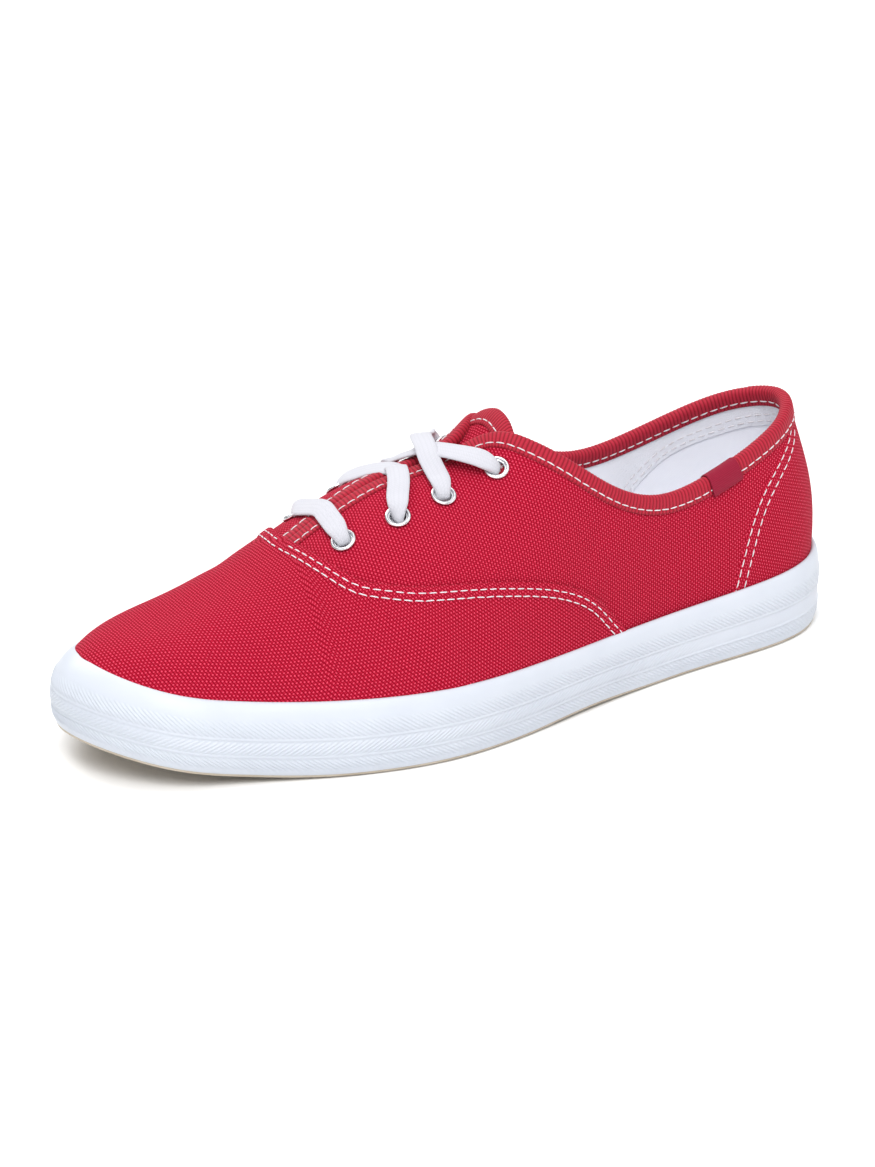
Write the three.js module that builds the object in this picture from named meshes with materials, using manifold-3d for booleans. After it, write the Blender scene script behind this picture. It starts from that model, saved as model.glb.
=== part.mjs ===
// A low canvas lace-up sneaker for the left foot, in millimetres.
// +X points to the toe, +Y to the wearer's left (the outer side) and +Z up.
// The origin is on the ground, under the middle of the sole.

import * as THREE from 'three';
import { ParametricGeometry } from 'three/addons/geometries/ParametricGeometry.js';
import { mergeVertices } from 'three/addons/utils/BufferGeometryUtils.js';
import Module from 'manifold-3d';

// ---------- Driving sizes ----------

const CLEARANCE = 0.3; // left between two pieces that meet
const UPPER_WALL = 2.0; // canvas, padding and lining together
const TONGUE_WALL = 1.6;
const INSOLE_THICKNESS = 3.2;

const SOLE_THICKNESS = 8.6; // ground to the insole board, under the foot
const OUTSOLE_LIP_HEIGHT = 2.4; // the tread layer that shows below the foxing
const ARCH_RISE = 0.8;
const ARCH_FROM = -52;
const ARCH_TO = 8;
const SPRING_FROM = 56; // the sole leaves the ground here and curls up to the toe
const SPRING_TO = 124.5;
const TOE_SPRING = 11;

const VAMP_POINT = 49; // the throat opens behind this station
const THROAT_TOP = -9;
const ANKLE = -45; // behind this station the top edge is only the collar
const THROAT_GAP = 7; // between the two eyestays at the top
const CORNER_ROUNDING = 12; // of the eyestay's top corner

const HEEL_BACK = -125;
const HEEL_SWELL = 2.6; // the heel bulges back between the feather edge and the collar
const HEEL_SWELL_TOP = 70;
const HEEL_SWELL_LENGTH = 18;

const EYELET_HOLE = 2.3;
const EYELET_FLANGE = 3.7;
const EYELET_BARREL = 2.8;
const EYELET_RISE = 1.0;

const LACE_WIDTH = 6.4;
const LACE_THICKNESS = 1.2;
const LACE_END_LIFT = 2.4; // of a lace's middle over an eyelet

const TONGUE_DEPTH = UPPER_WALL + 4 * CLEARANCE; // below the outside of the upper
const TONGUE_FRONT = 57;
const TONGUE_TOP = -14;
const TONGUE_FRONT_WIDTH = 30;
const TONGUE_TOP_WIDTH = 44;

const HALVINGS = 40; // of an interval, when a place is searched for
const HOOP_STEPS = 80;
const OUTSOLE_STEPS = 40;
const WALL_STEPS = 11;
const TONGUE_LENGTH_STEPS = 16;
const TONGUE_WIDTH_STEPS = 10;
const ROUND_STEPS = 12; // facets round an eyelet
const LACE_STEPS = 12;
const HOOP_NUDGE = 0.01; // hoops, to find a direction from two neighbours
const NUDGE = 0.5;

// The tables below are measured from the last's own axis.  This is the middle of the
// sole in them, which the finished shoe is moved back by.
const MIDDLE_OF_SOLE = new THREE.Vector3(-1.75, 4.5, 0);

// ---------- Tables of the last ----------

const named = (columns, rows) =>
  rows.map((row) => Object.fromEntries(columns.map((column, i) => [column, row[i]])));

// A hoop goes up from the feather edge, where the upper meets the sole, to the ridge
// line over the foot.  It has an outer (lateral) and an inner (medial) half.
const HOOPS = named(
  ['edgeX', 'lateralY', 'medialY', 'spineX', 'fullness'],
  [
    [-125, 0, 0, -99, 1.0],
    [-117, 16.5, -16.5, -97, 1.0],
    [-98, 25.6, -25.6, -89, 0.98],
    [-67, 29, -28, -66, 0.96],
    [-35, 34.5, -27.5, -37, 0.95],
    [-3, 42.4, -30, -6, 0.97],
    [29, 47, -34, 25, 0.98],
    [59, 41, -38, 52, 0.88],
    [86, 30.5, -36.5, 73, 0.72],
    [107, 20.5, -29.5, 86, 0.5],
    [121.5, -6.5, -6.5, 91, 0.4],
  ],
);

// Heights of the ridge line, of the collar's edge and of the foxing's top edge.
const RIDGE = named(
  ['x', 'z'],
  [[-124, 96], [-60, 96.5], [-20, 88], [0, 76], [30, 68.5], [60, 52], [90, 39.5], [121, 34]],
);
const COLLAR = named(
  ['x', 'z'],
  [[-126, 73], [-116, 69.8], [-97, 63.5], [-76, 57], [-55, 55], [-36, 63], [-18, 76], [-4, 82]],
);
const FOXING_TOP = named(
  ['x', 'z'],
  [[-124, 23.5], [-70, 20.5], [-10, 20], [50, 21.5], [95, 25], [121, 31.5]],
);

// Half sections of the outsole and the insole, from the middle of the underside round to
// the middle of the top: share of the way from the spine to the edge, millimetres further
// out, and height above the ground.  The outsole's lip runs under the foxing.
const OUTSOLE_SECTION = named(
  ['share', 'out', 'rise'],
  [
    [0, 0, 0],
    [1, 0, 0],
    [1, 2.0, 0.3],
    [1, 2.6, 1.2],
    [1, 2.4, OUTSOLE_LIP_HEIGHT],
    [1, -CLEARANCE, OUTSOLE_LIP_HEIGHT],
    [1, -CLEARANCE, SOLE_THICKNESS],
    [0.5, 0, SOLE_THICKNESS],
    [0, 0, SOLE_THICKNESS],
  ],
);
const INSOLE_UNDERSIDE = SOLE_THICKNESS + CLEARANCE;
const INSOLE_TOP = INSOLE_UNDERSIDE + INSOLE_THICKNESS;
const INSOLE_SECTION = named(
  ['share', 'out', 'rise'],
  [
    [0, 0, INSOLE_UNDERSIDE],
    [0.5, 0, INSOLE_UNDERSIDE],
    [1, -UPPER_WALL - CLEARANCE, INSOLE_UNDERSIDE],
    [1, -UPPER_WALL - 2 * CLEARANCE, INSOLE_TOP],
    [0.5, 0, INSOLE_TOP],
    [0, 0, INSOLE_TOP],
  ],
);

// The foxing's outer face, from its foot to its top edge: share of its height, and
// how far it stands out from the upper.
const FOXING_FACE = named(
  ['share', 'out'],
  [[0, 2.2], [0.12, 2.8], [0.32, 3.1], [0.62, 3.1], [0.86, 2.7], [0.97, 1.9], [1, 1.2]],
);

// Shares of its height where the foxing's inner face follows the upper, from the top down.
const FOXING_BACK = [1, 0.92, 0.84, 0.75, 0.65, 0.54, 0.42, 0.2, 0];

// The four pairs of eyelets from the toe up, by station and distance from the ridge line.
const EYELETS = named(
  ['x', 'inset'],
  [[43, 15], [28, 18.2], [13, 17.2], [-4.8, 17.7]],
);

// ---------- Curves ----------

const lerp = THREE.MathUtils.lerp;
const clamp = THREE.MathUtils.clamp;

// The curve of even curvature through the values at the stations.
function smoothCurve(stations, values) {
  const last = stations.length - 1;
  const bend = new Array(last + 1).fill(0);
  const share = new Array(last + 1).fill(0);
  for (let i = 1; i < last; i++) {
    const before = stations[i] - stations[i - 1];
    const after = stations[i + 1] - stations[i];
    const slopeBefore = (values[i] - values[i - 1]) / before;
    const slopeAfter = (values[i + 1] - values[i]) / after;
    const pivot = 2 * (before + after) - before * share[i - 1];
    share[i] = after / pivot;
    bend[i] = (6 * (slopeAfter - slopeBefore) - before * bend[i - 1]) / pivot;
  }
  for (let i = last - 1; i > 0; i--) bend[i] -= share[i] * bend[i + 1];
  return (at) => {
    const x = clamp(at, stations[0], stations[last]);
    let i = 0;
    while (i < last - 1 && x > stations[i + 1]) i++;
    const span = stations[i + 1] - stations[i];
    const far = (x - stations[i]) / span;
    const near = 1 - far;
    const straight = near * values[i] + far * values[i + 1];
    const curved = (near ** 3 - near) * bend[i] + (far ** 3 - far) * bend[i + 1];
    return straight + (curved * span ** 2) / 6;
  };
}

const curveOf = (rows, from, to) =>
  smoothCurve(rows.map((row) => row[from]), rows.map((row) => row[to]));

const ridgeHeight = curveOf(RIDGE, 'x', 'z');
const collarHeight = curveOf(COLLAR, 'x', 'z');
const foxingTop = curveOf(FOXING_TOP, 'x', 'z');

// The underside of the sole: flat at heel and ball, with a low arch and the toe spring.
function ground(x) {
  const arch = clamp((x - ARCH_FROM) / (ARCH_TO - ARCH_FROM), 0, 1);
  const spring = Math.max(0, (x - SPRING_FROM) / (SPRING_TO - SPRING_FROM));
  return ARCH_RISE * Math.sin(Math.PI * arch) ** 2 + TOE_SPRING * spring ** 2;
}

const featherHeight = (x) => ground(x) + SOLE_THICKNESS + CLEARANCE;

// ---------- The last: hoops round the whole foot ----------

const HALF_TURN = HOOPS.length - 1; // u is 0 at the heel and HALF_TURN at the toe
const FULL_TURN = 2 * HALF_TURN; // and comes back along the inner side

// A column of the table as a closed curve round the foot.
function ringCurve(valueAt) {
  const stations = [];
  const values = [];
  for (let i = -HALF_TURN; i <= FULL_TURN + HALF_TURN; i++) {
    const turn = (i + FULL_TURN) % FULL_TURN;
    const row = HOOPS[Math.min(turn, FULL_TURN - turn)];
    stations.push(i);
    values.push(valueAt(row, turn > HALF_TURN));
  }
  return smoothCurve(stations, values);
}

const edgeX = ringCurve((row) => row.edgeX);
const edgeY = ringCurve((row, inner) => (inner ? row.medialY : row.lateralY));
const spineX = ringCurve((row) => row.spineX);
const spineY = ringCurve((row) => (row.lateralY + row.medialY) / 4);
const fullness = ringCurve((row) => row.fullness);

// The two halves of a hoop share their spine to the last digit.
const spineAt = (u) => {
  const mirrored = Math.min(u, FULL_TURN - u);
  return new THREE.Vector3(spineX(mirrored), spineY(mirrored), 0);
};
const edgeAt = (u) => new THREE.Vector3(edgeX(u), edgeY(u), 0);

function heelSwell({ x, z }, foot) {
  const rise = Math.min(Math.max((z - foot) / (HEEL_SWELL_TOP - foot), 0), 1);
  const nearness = Math.exp(-(((x - HEEL_BACK) / HEEL_SWELL_LENGTH) ** 2));
  return HEEL_SWELL * nearness * Math.sin(Math.PI * rise) ** 2;
}

// The outside of the upper: angle 0 is at the feather edge, and a quarter turn at the ridge.
function wallPoint(u, angle) {
  const spread = Math.cos(angle) ** fullness(u);
  const point = spineAt(u).lerp(edgeAt(u), angle < Math.PI / 2 ? spread : 0);
  const foot = featherHeight(point.x);
  point.z = foot + (ridgeHeight(point.x) - foot) * Math.sin(angle);
  point.x -= heelSwell(point, foot);
  return point;
}

// Halving the step finds the angle where a measure of the wall's points reaches zero.
function angleWhere(u, measure) {
  let low = 0;
  let high = Math.PI / 2;
  for (let i = 0; i < HALVINGS; i++) {
    const middle = (low + high) / 2;
    if (measure(wallPoint(u, middle)) > 0) low = middle;
    else high = middle;
  }
  return (low + high) / 2;
}

function softMinimum(a, b, rounding) {
  const overlap = Math.max(rounding - Math.abs(a - b), 0);
  return Math.min(a, b) - overlap ** 2 / (4 * rounding);
}

// Positive on the upper, zero along its collar and throat edge.
function insideTopEdge(point) {
  const below = collarHeight(point.x) - point.z;
  if (point.x < ANKLE) return below;
  const opening = (VAMP_POINT - point.x) / (VAMP_POINT - THROAT_TOP);
  const gap = (THROAT_GAP * Math.min(opening, 1)) / 2;
  return softMinimum(below, Math.abs(point.y - ridgeLineY(point.x)) - gap, CORNER_ROUNDING);
}

const isVamp = (u) => spineAt(u).x >= VAMP_POINT;
const topAngle = (u) => (isVamp(u) ? Math.PI / 2 : angleWhere(u, insideTopEdge));

// The hoop on the outer side whose spine stands at this station.
function hoopAt(x) {
  let low = 0;
  let high = HALF_TURN;
  for (let i = 0; i < HALVINGS; i++) {
    const middle = (low + high) / 2;
    if (spineX(middle) < x) low = middle;
    else high = middle;
  }
  return (low + high) / 2;
}

const ridgeLineY = (x) => spineY(hoopAt(x));

// Outward direction of the sole's outline, seen from above.
function outward(u) {
  const ahead = edgeAt((u + HOOP_NUDGE) % FULL_TURN);
  const behind = edgeAt((u - HOOP_NUDGE + FULL_TURN) % FULL_TURN);
  const along = ahead.sub(behind).normalize();
  return new THREE.Vector3(-along.y, along.x, 0);
}

// A point over the instep, across from the ridge: positive to the outer side.
function instepPoint(x, across) {
  const outer = hoopAt(x);
  const u = across < 0 ? FULL_TURN - outer : outer;
  const ridge = wallPoint(u, Math.PI / 2);
  const reach = Math.abs(across);
  const angle = angleWhere(u, (point) => point.distanceTo(ridge) - reach);
  return wallPoint(u, angle);
}

function instepNormal(x, across) {
  const along = instepPoint(x + NUDGE, across).sub(instepPoint(x - NUDGE, across));
  const over = instepPoint(x, across + NUDGE).sub(instepPoint(x, across - NUDGE));
  return along.cross(over).normalize();
}

const liftedInstep = (x, across, lift) =>
  instepPoint(x, across).addScaledVector(instepNormal(x, across), lift);

// ---------- Ways to make solids ----------

const wasm = await Module();
wasm.setup();

function welded(geometry) {
  const bare = new THREE.BufferGeometry();
  bare.setAttribute('position', geometry.getAttribute('position'));
  bare.setIndex(geometry.index);
  return mergeVertices(bare, 1e-3);
}

function toSolid(geometry) {
  const merged = welded(geometry);
  return new wasm.Manifold(
    new wasm.Mesh({
      numProp: 3,
      vertProperties: new Float32Array(merged.getAttribute('position').array),
      triVerts: new Uint32Array(merged.index.array),
    }),
  );
}

function toGeometry(solid) {
  const mesh = solid.getMesh();
  const geometry = new THREE.BufferGeometry();
  geometry.setAttribute('position', new THREE.BufferAttribute(mesh.vertProperties, 3));
  geometry.setIndex(new THREE.BufferAttribute(mesh.triVerts, 1));
  return geometry;
}

// A sheet over two parameters that both run from 0 to 1.
function sheet(pointAt, alongSteps, acrossSteps) {
  const place = (along, across, target) => target.copy(pointAt(along, across));
  return new ParametricGeometry(place, alongSteps, acrossSteps);
}

// Gives a sheet a wall on its inner side, with a rim along every free edge.
function thickened(surface, wall) {
  const outer = welded(surface);
  outer.computeVertexNormals();
  const positions = Array.from(outer.getAttribute('position').array);
  const normals = outer.getAttribute('normal').array;
  const corners = Array.from(outer.index.array);
  const count = positions.length / 3;
  for (let i = 0; i < count * 3; i++) positions.push(positions[i] - normals[i] * wall);

  const faces = [];
  const free = new Map();
  for (let i = 0; i < corners.length; i += 3) {
    const [a, b, c] = corners.slice(i, i + 3);
    if (a === b || b === c || c === a) continue;
    faces.push(a, b, c, a + count, c + count, b + count);
    for (const [from, to] of [[a, b], [b, c], [c, a]]) {
      if (free.has(`${to},${from}`)) free.delete(`${to},${from}`);
      else free.set(`${from},${to}`, [from, to]);
    }
  }
  for (const [from, to] of free.values()) {
    faces.push(to, from, from + count, to, from + count, to + count);
  }
  const geometry = new THREE.BufferGeometry();
  geometry.setAttribute('position', new THREE.Float32BufferAttribute(positions, 3));
  geometry.setIndex(faces);
  return geometry;
}

// Carries a profile round the foot.  pointAt gives the profile's points at hoop u.
function roundTheFoot(profile, pointAt, steps = HOOP_STEPS) {
  const place = (turn, along) => {
    const row = profile[Math.round(along * (profile.length - 1))];
    return pointAt((1 - turn) * FULL_TURN, row);
  };
  return sheet(place, steps, profile.length - 1);
}

// ---------- Sole ----------

// A plate under the foot: each profile point stands at a share of the way from the
// spine to the edge, moved out by some millimetres, and at a height above the ground.
function platePoint(u, { share, out, rise }) {
  const point = spineAt(u).lerp(edgeAt(u), share).addScaledVector(outward(u), out);
  point.z = ground(point.x) + rise;
  return point;
}

const makeOutsole = () => roundTheFoot(OUTSOLE_SECTION, platePoint, OUTSOLE_STEPS);

const makeInsole = () => roundTheFoot(INSOLE_SECTION, platePoint);

// The wall's plan position at a height, straight down below the feather edge.
function wallAtHeight(u, height) {
  const angle = angleWhere(u, (point) => height - point.z);
  const point = height > featherHeight(edgeX(u)) ? wallPoint(u, angle) : edgeAt(u);
  point.z = height;
  return point;
}

function makeFoxing() {
  const foot = OUTSOLE_LIP_HEIGHT + CLEARANCE;
  const outerFace = FOXING_FACE.map(({ share, out }) => ({ share, out }));
  const innerFace = FOXING_BACK.map((share) => ({ share, out: CLEARANCE }));
  const profile = [...outerFace, ...innerFace, outerFace[0]];
  const pointAt = (u, { share, out }) => {
    const aside = outward(u).multiplyScalar(out);
    const low = ground(edgeX(u) + aside.x) + foot;
    const high = foxingTop(edgeX(u));
    return wallAtHeight(u, lerp(low, high, share)).add(aside);
  };
  return roundTheFoot(profile, pointAt);
}

// ---------- Upper ----------

const eyelets = [];
for (const [pair, { x, inset }] of EYELETS.entries()) {
  for (const [side, sign] of [['lateral', 1], ['medial', -1]]) {
    eyelets.push({
      name: `eyelet_${side}_${pair + 1}`,
      centre: instepPoint(x, sign * inset),
      normal: instepNormal(x, sign * inset),
    });
  }
}

const LATHE_AXIS = new THREE.Vector3(0, 1, 0);
const facing = (normal) => new THREE.Quaternion().setFromUnitVectors(LATHE_AXIS, normal);

function makeUpper() {
  const shell = sheet(
    (turn, climb) => {
      const u = (1 - turn) * FULL_TURN;
      return wallPoint(u, climb * topAngle(u));
    },
    HOOP_STEPS,
    WALL_STEPS,
  );
  let upper = toSolid(thickened(shell, UPPER_WALL));
  for (const { centre, normal } of eyelets) {
    const drill = new THREE.CylinderGeometry(
      EYELET_BARREL + CLEARANCE,
      EYELET_BARREL + CLEARANCE,
      4 * UPPER_WALL,
      ROUND_STEPS,
    );
    drill.applyQuaternion(facing(normal));
    drill.translate(centre.x, centre.y, centre.z);
    upper = upper.subtract(toSolid(drill));
  }
  return toGeometry(upper);
}

function makeTongue() {
  const surface = sheet(
    (along, across) => {
      const x = lerp(TONGUE_TOP, TONGUE_FRONT, along);
      const width = lerp(TONGUE_TOP_WIDTH, TONGUE_FRONT_WIDTH, along);
      return liftedInstep(x, (across - 0.5) * width, -TONGUE_DEPTH);
    },
    TONGUE_LENGTH_STEPS,
    TONGUE_WIDTH_STEPS,
  );
  return thickened(surface, TONGUE_WALL);
}

// A rolled metal ring: a domed flange outside and a barrel through the wall.
function makeEyelet() {
  const profile = [
    [EYELET_HOLE, -UPPER_WALL],
    [EYELET_BARREL, -UPPER_WALL],
    [EYELET_BARREL, CLEARANCE],
    [EYELET_FLANGE, CLEARANCE],
    [EYELET_FLANGE - CLEARANCE, EYELET_RISE - CLEARANCE],
    [(EYELET_FLANGE + EYELET_HOLE) / 2, EYELET_RISE],
    [EYELET_HOLE, EYELET_RISE / 2],
    [EYELET_HOLE, -UPPER_WALL],
  ];
  const points = profile.map(([radius, height]) => new THREE.Vector2(radius, height));
  return new THREE.LatheGeometry(points, ROUND_STEPS);
}

// ---------- Laces ----------

const LOOK_AHEAD = 0.02; // share of a lace's run used to find its heading

// A flat band over the instep, through points given as station, distance across and lift.
function laceBand(route) {
  const middle = new THREE.CatmullRomCurve3(
    route.map(({ x, across, lift }) => new THREE.Vector3(x, across, lift)),
  );
  const corners = [[-1, -1], [1, -1], [1, 1], [-1, 1], [-1, -1]];
  const pointAt = (along, round) => {
    const share = clamp((along * (LACE_STEPS + 2) - 1) / LACE_STEPS, 0, 1);
    const station = middle.getPoint(share);
    const ahead = middle.getPoint(Math.min(share + LOOK_AHEAD, 1));
    const behind = middle.getPoint(Math.max(share - LOOK_AHEAD, 0));
    const centre = liftedInstep(station.x, station.y, station.z);
    const heading = liftedInstep(ahead.x, ahead.y, ahead.z);
    heading.sub(liftedInstep(behind.x, behind.y, behind.z)).normalize();
    const up = instepNormal(station.x, station.y);
    const side = new THREE.Vector3().crossVectors(heading, up).normalize();
    const closed = along === 0 || along === 1 ? 0 : 1;
    const [sideways, upwards] = corners[Math.round(round * (corners.length - 1))];
    return centre
      .addScaledVector(side, (closed * sideways * LACE_WIDTH) / 2)
      .addScaledVector(up.cross(heading).cross(heading).negate().normalize(),
        (closed * upwards * LACE_THICKNESS) / 2);
  };
  return sheet(pointAt, LACE_STEPS + 2, corners.length - 1);
}

// A route starts over an eyelet, on the outer (1) or inner (-1) side, and crosses the
// throat: each further point is a station, a distance to that side and a lift.
function laceRoute(pair, side, further) {
  const { x, inset } = EYELETS[pair];
  const rows = [[x, inset, LACE_END_LIFT], ...further];
  const points = named(['x', 'across', 'lift'], rows);
  return points.map((point) => ({ ...point, across: side * point.across }));
}

// Straight over the throat between the two eyelets nearest the toe.
function makeLaceBar() {
  const { x, inset } = EYELETS[0];
  return laceBand(laceRoute(0, 1, [
    [x, 8, 2.6],
    [x, 0, 2.8],
    [x, -8, 2.6],
    [x, -inset, LACE_END_LIFT],
  ]));
}

// Two bands that cross over the tongue, joined where they touch.
function makeLaceCross(routeOf) {
  const [outer, inner] = [1, -1].map((side) => toSolid(laceBand(routeOf(side))));
  return toGeometry(outer.add(inner));
}

const crossingLift = (side) => (side > 0 ? 3.2 : 2.6);

// Out of the second pair, over the throat and in under the opposite eyestay.
function makeLowerCross() {
  return makeLaceCross((side) => laceRoute(1, side, [
    [23, 9, 2.8],
    [19, 0, crossingLift(side)],
    [15.5, -6, 1.6],
  ]));
}

// Out of the third pair, over the throat and down into the opposite top eyelet.
function makeUpperCross() {
  const { x, inset } = EYELETS[3];
  return makeLaceCross((side) => laceRoute(2, side, [
    [8, 9, 2.8],
    [4, 0, crossingLift(side)],
    [0, -9, 2.8],
    [x, -inset, LACE_END_LIFT],
  ]));
}

// ---------- The shoe ----------

const rubber = new THREE.MeshStandardMaterial({ color: 0xeef1fa, roughness: 0.55 });
const tread = new THREE.MeshStandardMaterial({ color: 0xcfc4b4, roughness: 0.8 });
const canvas = new THREE.MeshStandardMaterial({ color: 0xc22038, roughness: 0.9 });
const lining = new THREE.MeshStandardMaterial({ color: 0xf0f0f2, roughness: 0.9 });
const metal = new THREE.MeshStandardMaterial({ color: 0xc8ccd0, roughness: 0.25, metalness: 1 });
const cotton = new THREE.MeshStandardMaterial({ color: 0xf6f6fa, roughness: 0.85 });

const shoe = new THREE.Group();
shoe.position.copy(MIDDLE_OF_SOLE).negate();

function addPiece(name, geometry, material) {
  const piece = new THREE.Mesh(geometry, material);
  piece.name = name;
  shoe.add(piece);
  return piece;
}

addPiece('outsole', makeOutsole(), tread);
addPiece('foxing', makeFoxing(), rubber);
addPiece('insole', makeInsole(), lining);
addPiece('upper', makeUpper(), canvas);
addPiece('tongue', makeTongue(), canvas);
for (const { name, centre, normal } of eyelets) {
  const ring = addPiece(name, makeEyelet(), metal);
  ring.position.copy(centre);
  ring.quaternion.copy(facing(normal));
}
addPiece('lace_bar', makeLaceBar(), cotton);
addPiece('lace_cross_lower', makeLowerCross(), cotton);
addPiece('lace_cross_upper', makeUpperCross(), cotton);

export default shoe;
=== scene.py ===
"""A low canvas lace-up sneaker for the left foot: cloth, rubber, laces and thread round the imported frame.

+X points to the toe, +Y to the outer side and +Z up.  The tables and surfaces below are in
millimetres on the last's own axis; in_frame() turns them into the frame's metres.
"""

import math
import random

import bmesh
import bpy
import numpy as np
from mathutils import Matrix, Vector
from mathutils.kdtree import KDTree


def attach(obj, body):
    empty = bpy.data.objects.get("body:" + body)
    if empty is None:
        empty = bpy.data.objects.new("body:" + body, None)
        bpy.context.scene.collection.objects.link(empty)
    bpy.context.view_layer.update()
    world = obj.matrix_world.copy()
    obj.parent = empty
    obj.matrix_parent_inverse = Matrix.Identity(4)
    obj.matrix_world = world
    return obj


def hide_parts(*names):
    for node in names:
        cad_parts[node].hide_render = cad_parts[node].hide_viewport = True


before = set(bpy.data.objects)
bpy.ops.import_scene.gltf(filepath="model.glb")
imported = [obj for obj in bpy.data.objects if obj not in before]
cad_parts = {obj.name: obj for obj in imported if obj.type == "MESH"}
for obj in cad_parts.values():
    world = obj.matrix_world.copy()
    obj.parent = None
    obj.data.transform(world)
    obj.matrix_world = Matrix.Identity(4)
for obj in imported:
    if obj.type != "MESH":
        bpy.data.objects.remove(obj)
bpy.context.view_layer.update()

# ---------- Driving sizes, in millimetres ----------

MM = 0.001
MIDDLE_OF_SOLE = np.array([-1.75, 4.5, 0.0])

CLEARANCE = 0.3
UPPER_WALL = 2.0
SOLE_THICKNESS = 8.6
INSOLE_THICKNESS = 3.2
ARCH_RISE = 0.8
ARCH_FROM = -52
ARCH_TO = 8
SPRING_FROM = 56
SPRING_TO = 124.5
TOE_SPRING = 11

VAMP_POINT = 49
THROAT_TOP = -9
ANKLE = -45
THROAT_GAP = 7
CORNER_ROUNDING = 12

HEEL_BACK = -125
HEEL_SWELL = 2.6  # the heel bulges back between the feather edge and the collar
HEEL_SWELL_TOP = 70
HEEL_SWELL_LENGTH = 18

EYELET_HOLE = 2.3
EYELET_FLANGE = 3.7
EYELET_BARREL = 2.8
EYELET_RISE = 1.0

LACE_WIDTH = 6.4
LACE_THICKNESS = 1.2
TONGUE_DEPTH = UPPER_WALL + 4 * CLEARANCE

CANVAS_WALL = 1.0
LINING_WALL = 0.75
VAMP_LIFT = 0.7  # the vamp's outside over the quarters'
HEM_LIFT = 0.5  # more where its edge is folded under
HEM_WIDTH = 4.6
HEM_ROUNDING = 0.5
HEEL_LIFT = 0.3
LINING_LAP = 0.4

CANVAS_THREADS = (0.88, 0.6)  # from one thread to the next, along the shoe and up it
RIB_PITCH = 1.25  # of the binding tape
STITCH_PITCH = 3.2
STITCH_LENGTH = 2.7
THREAD_RADIUS = 0.2

RIGHT_ANGLE = math.pi / 2

# ---------- Tables of the last ----------

# A hoop goes up from the feather edge to the ridge line over the foot:
# edge x, outer y, inner y, spine x, fullness.
HOOPS = np.array([
    [-125, 0, 0, -99, 1.0],
    [-117, 16.5, -16.5, -97, 1.0],
    [-98, 25.6, -25.6, -89, 0.98],
    [-67, 29, -28, -66, 0.96],
    [-35, 34.5, -27.5, -37, 0.95],
    [-3, 42.4, -30, -6, 0.97],
    [29, 47, -34, 25, 0.98],
    [59, 41, -38, 52, 0.88],
    [86, 30.5, -36.5, 73, 0.72],
    [107, 20.5, -29.5, 86, 0.5],
    [121.5, -6.5, -6.5, 91, 0.4],
])

# Station and height of the ridge line, the collar's edge and the foxing's top edge.
RIDGE = [[-124, 96], [-60, 96.5], [-20, 88], [0, 76], [30, 68.5], [60, 52], [90, 39.5], [121, 34]]
COLLAR = [
    [-126, 73], [-116, 69.8], [-97, 63.5], [-76, 57], [-55, 55], [-36, 63], [-18, 76], [-4, 82.2], [12, 85],
]
FOXING_TOP = [[-124, 23.5], [-70, 20.5], [-10, 20], [50, 21.5], [95, 25], [121, 31.5]]

# The edge of the vamp over the quarters: hoop, and degrees up it.
VAMP_EDGE = [
    [3.62, 0], [3.9, 5], [4.25, 14], [4.67, 22], [5.29, 31.5], [5.95, 37.5], [6.29, 42],
    [6.49, 46.5], [6.72, 54], [6.95, 70], [7.16, 90],
]
VAMP_RAISE = 2.3  # of the folded edge over this line
# The front edge of the heel panel: hoop, and degrees up it.
HEEL_EDGE = [[2.66, 0], [2.6, 6], [2.48, 13], [2.34, 20], [2.12, 27], [1.75, 33], [1.3, 38], [0.9, 43]]
# Where the lining's upper part laps over its heel part: hoop, and degrees up it.
LINING_EDGE = [
    [0, 35.5], [0.85, 33.4], [1.5, 30.8], [2, 28.3], [2.3, 25.4], [2.5, 21.8], [2.68, 16], [2.9, 0],
]

# The four pairs of eyelets from the toe up: station, and distance from the ridge line.
EYELETS = [[43, 15], [28, 18.2], [13, 17.2], [-4.8, 17.7]]

# The foxing from its top edge down: share of its height, how far it stands out from the
# upper, how far along the ribs have leaned, and how much rib there is.
FOXING_FACE = [
    [0.97, 0.2, 0, 0], [1.0, 0.7, 0, 0], [1.0, 1.25, 0, 0], [0.985, 1.65, 0, 0], [0.95, 2.05, 0, 0],
    [0.9, 2.4, 0, 0], [0.84, 2.65, 0, 0], [0.78, 2.8, 0, 0], [0.765, 2.8, 0, 0.1],
    [0.74, 2.85, 0.8, 1], [0.68, 2.9, 2.6, 1], [0.62, 2.95, 4.4, 1], [0.57, 2.95, 5.9, 1],
    [0.555, 2.95, 6.3, 0.1], [0.542, 3.05, 6.6, 0], [0.528, 3.25, 6.9, 0], [0.514, 3.05, 7.2, 0],
    [0.5, 2.9, 7.2, 0.1], [0.485, 2.95, 6.8, 1], [0.43, 3.0, 5.0, 1], [0.37, 3.0, 3.0, 1],
    [0.325, 2.95, 1.5, 1], [0.31, 2.9, 1.0, 0.1], [0.297, 3.0, 0.6, 0], [0.283, 3.2, 0.3, 0],
    [0.27, 3.0, 0, 0], [0.255, 2.85, 0, 0.1], [0.24, 2.85, 0.5, 1], [0.18, 2.75, 2.5, 1],
    [0.12, 2.6, 4.5, 1], [0.1, 2.55, 5.2, 0.1], [0.06, 2.4, 5.2, 0], [0.025, 2.1, 5.2, 0],
    [0, 1.6, 5.2, 0], [0, 0.2, 5.2, 0], [0.5, 0.2, 5.2, 0], [0.97, 0.2, 0, 0],
]
FOXING_FOOT = 0.6  # above the ground
FOXING_WALL = 3
FOXING_RIB_PITCH = 1.75
FOXING_RIB = 0.34
SMOOTH_HEEL_BAND = (-78, -38)  # the middle band's ribs fade out behind these stations

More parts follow.
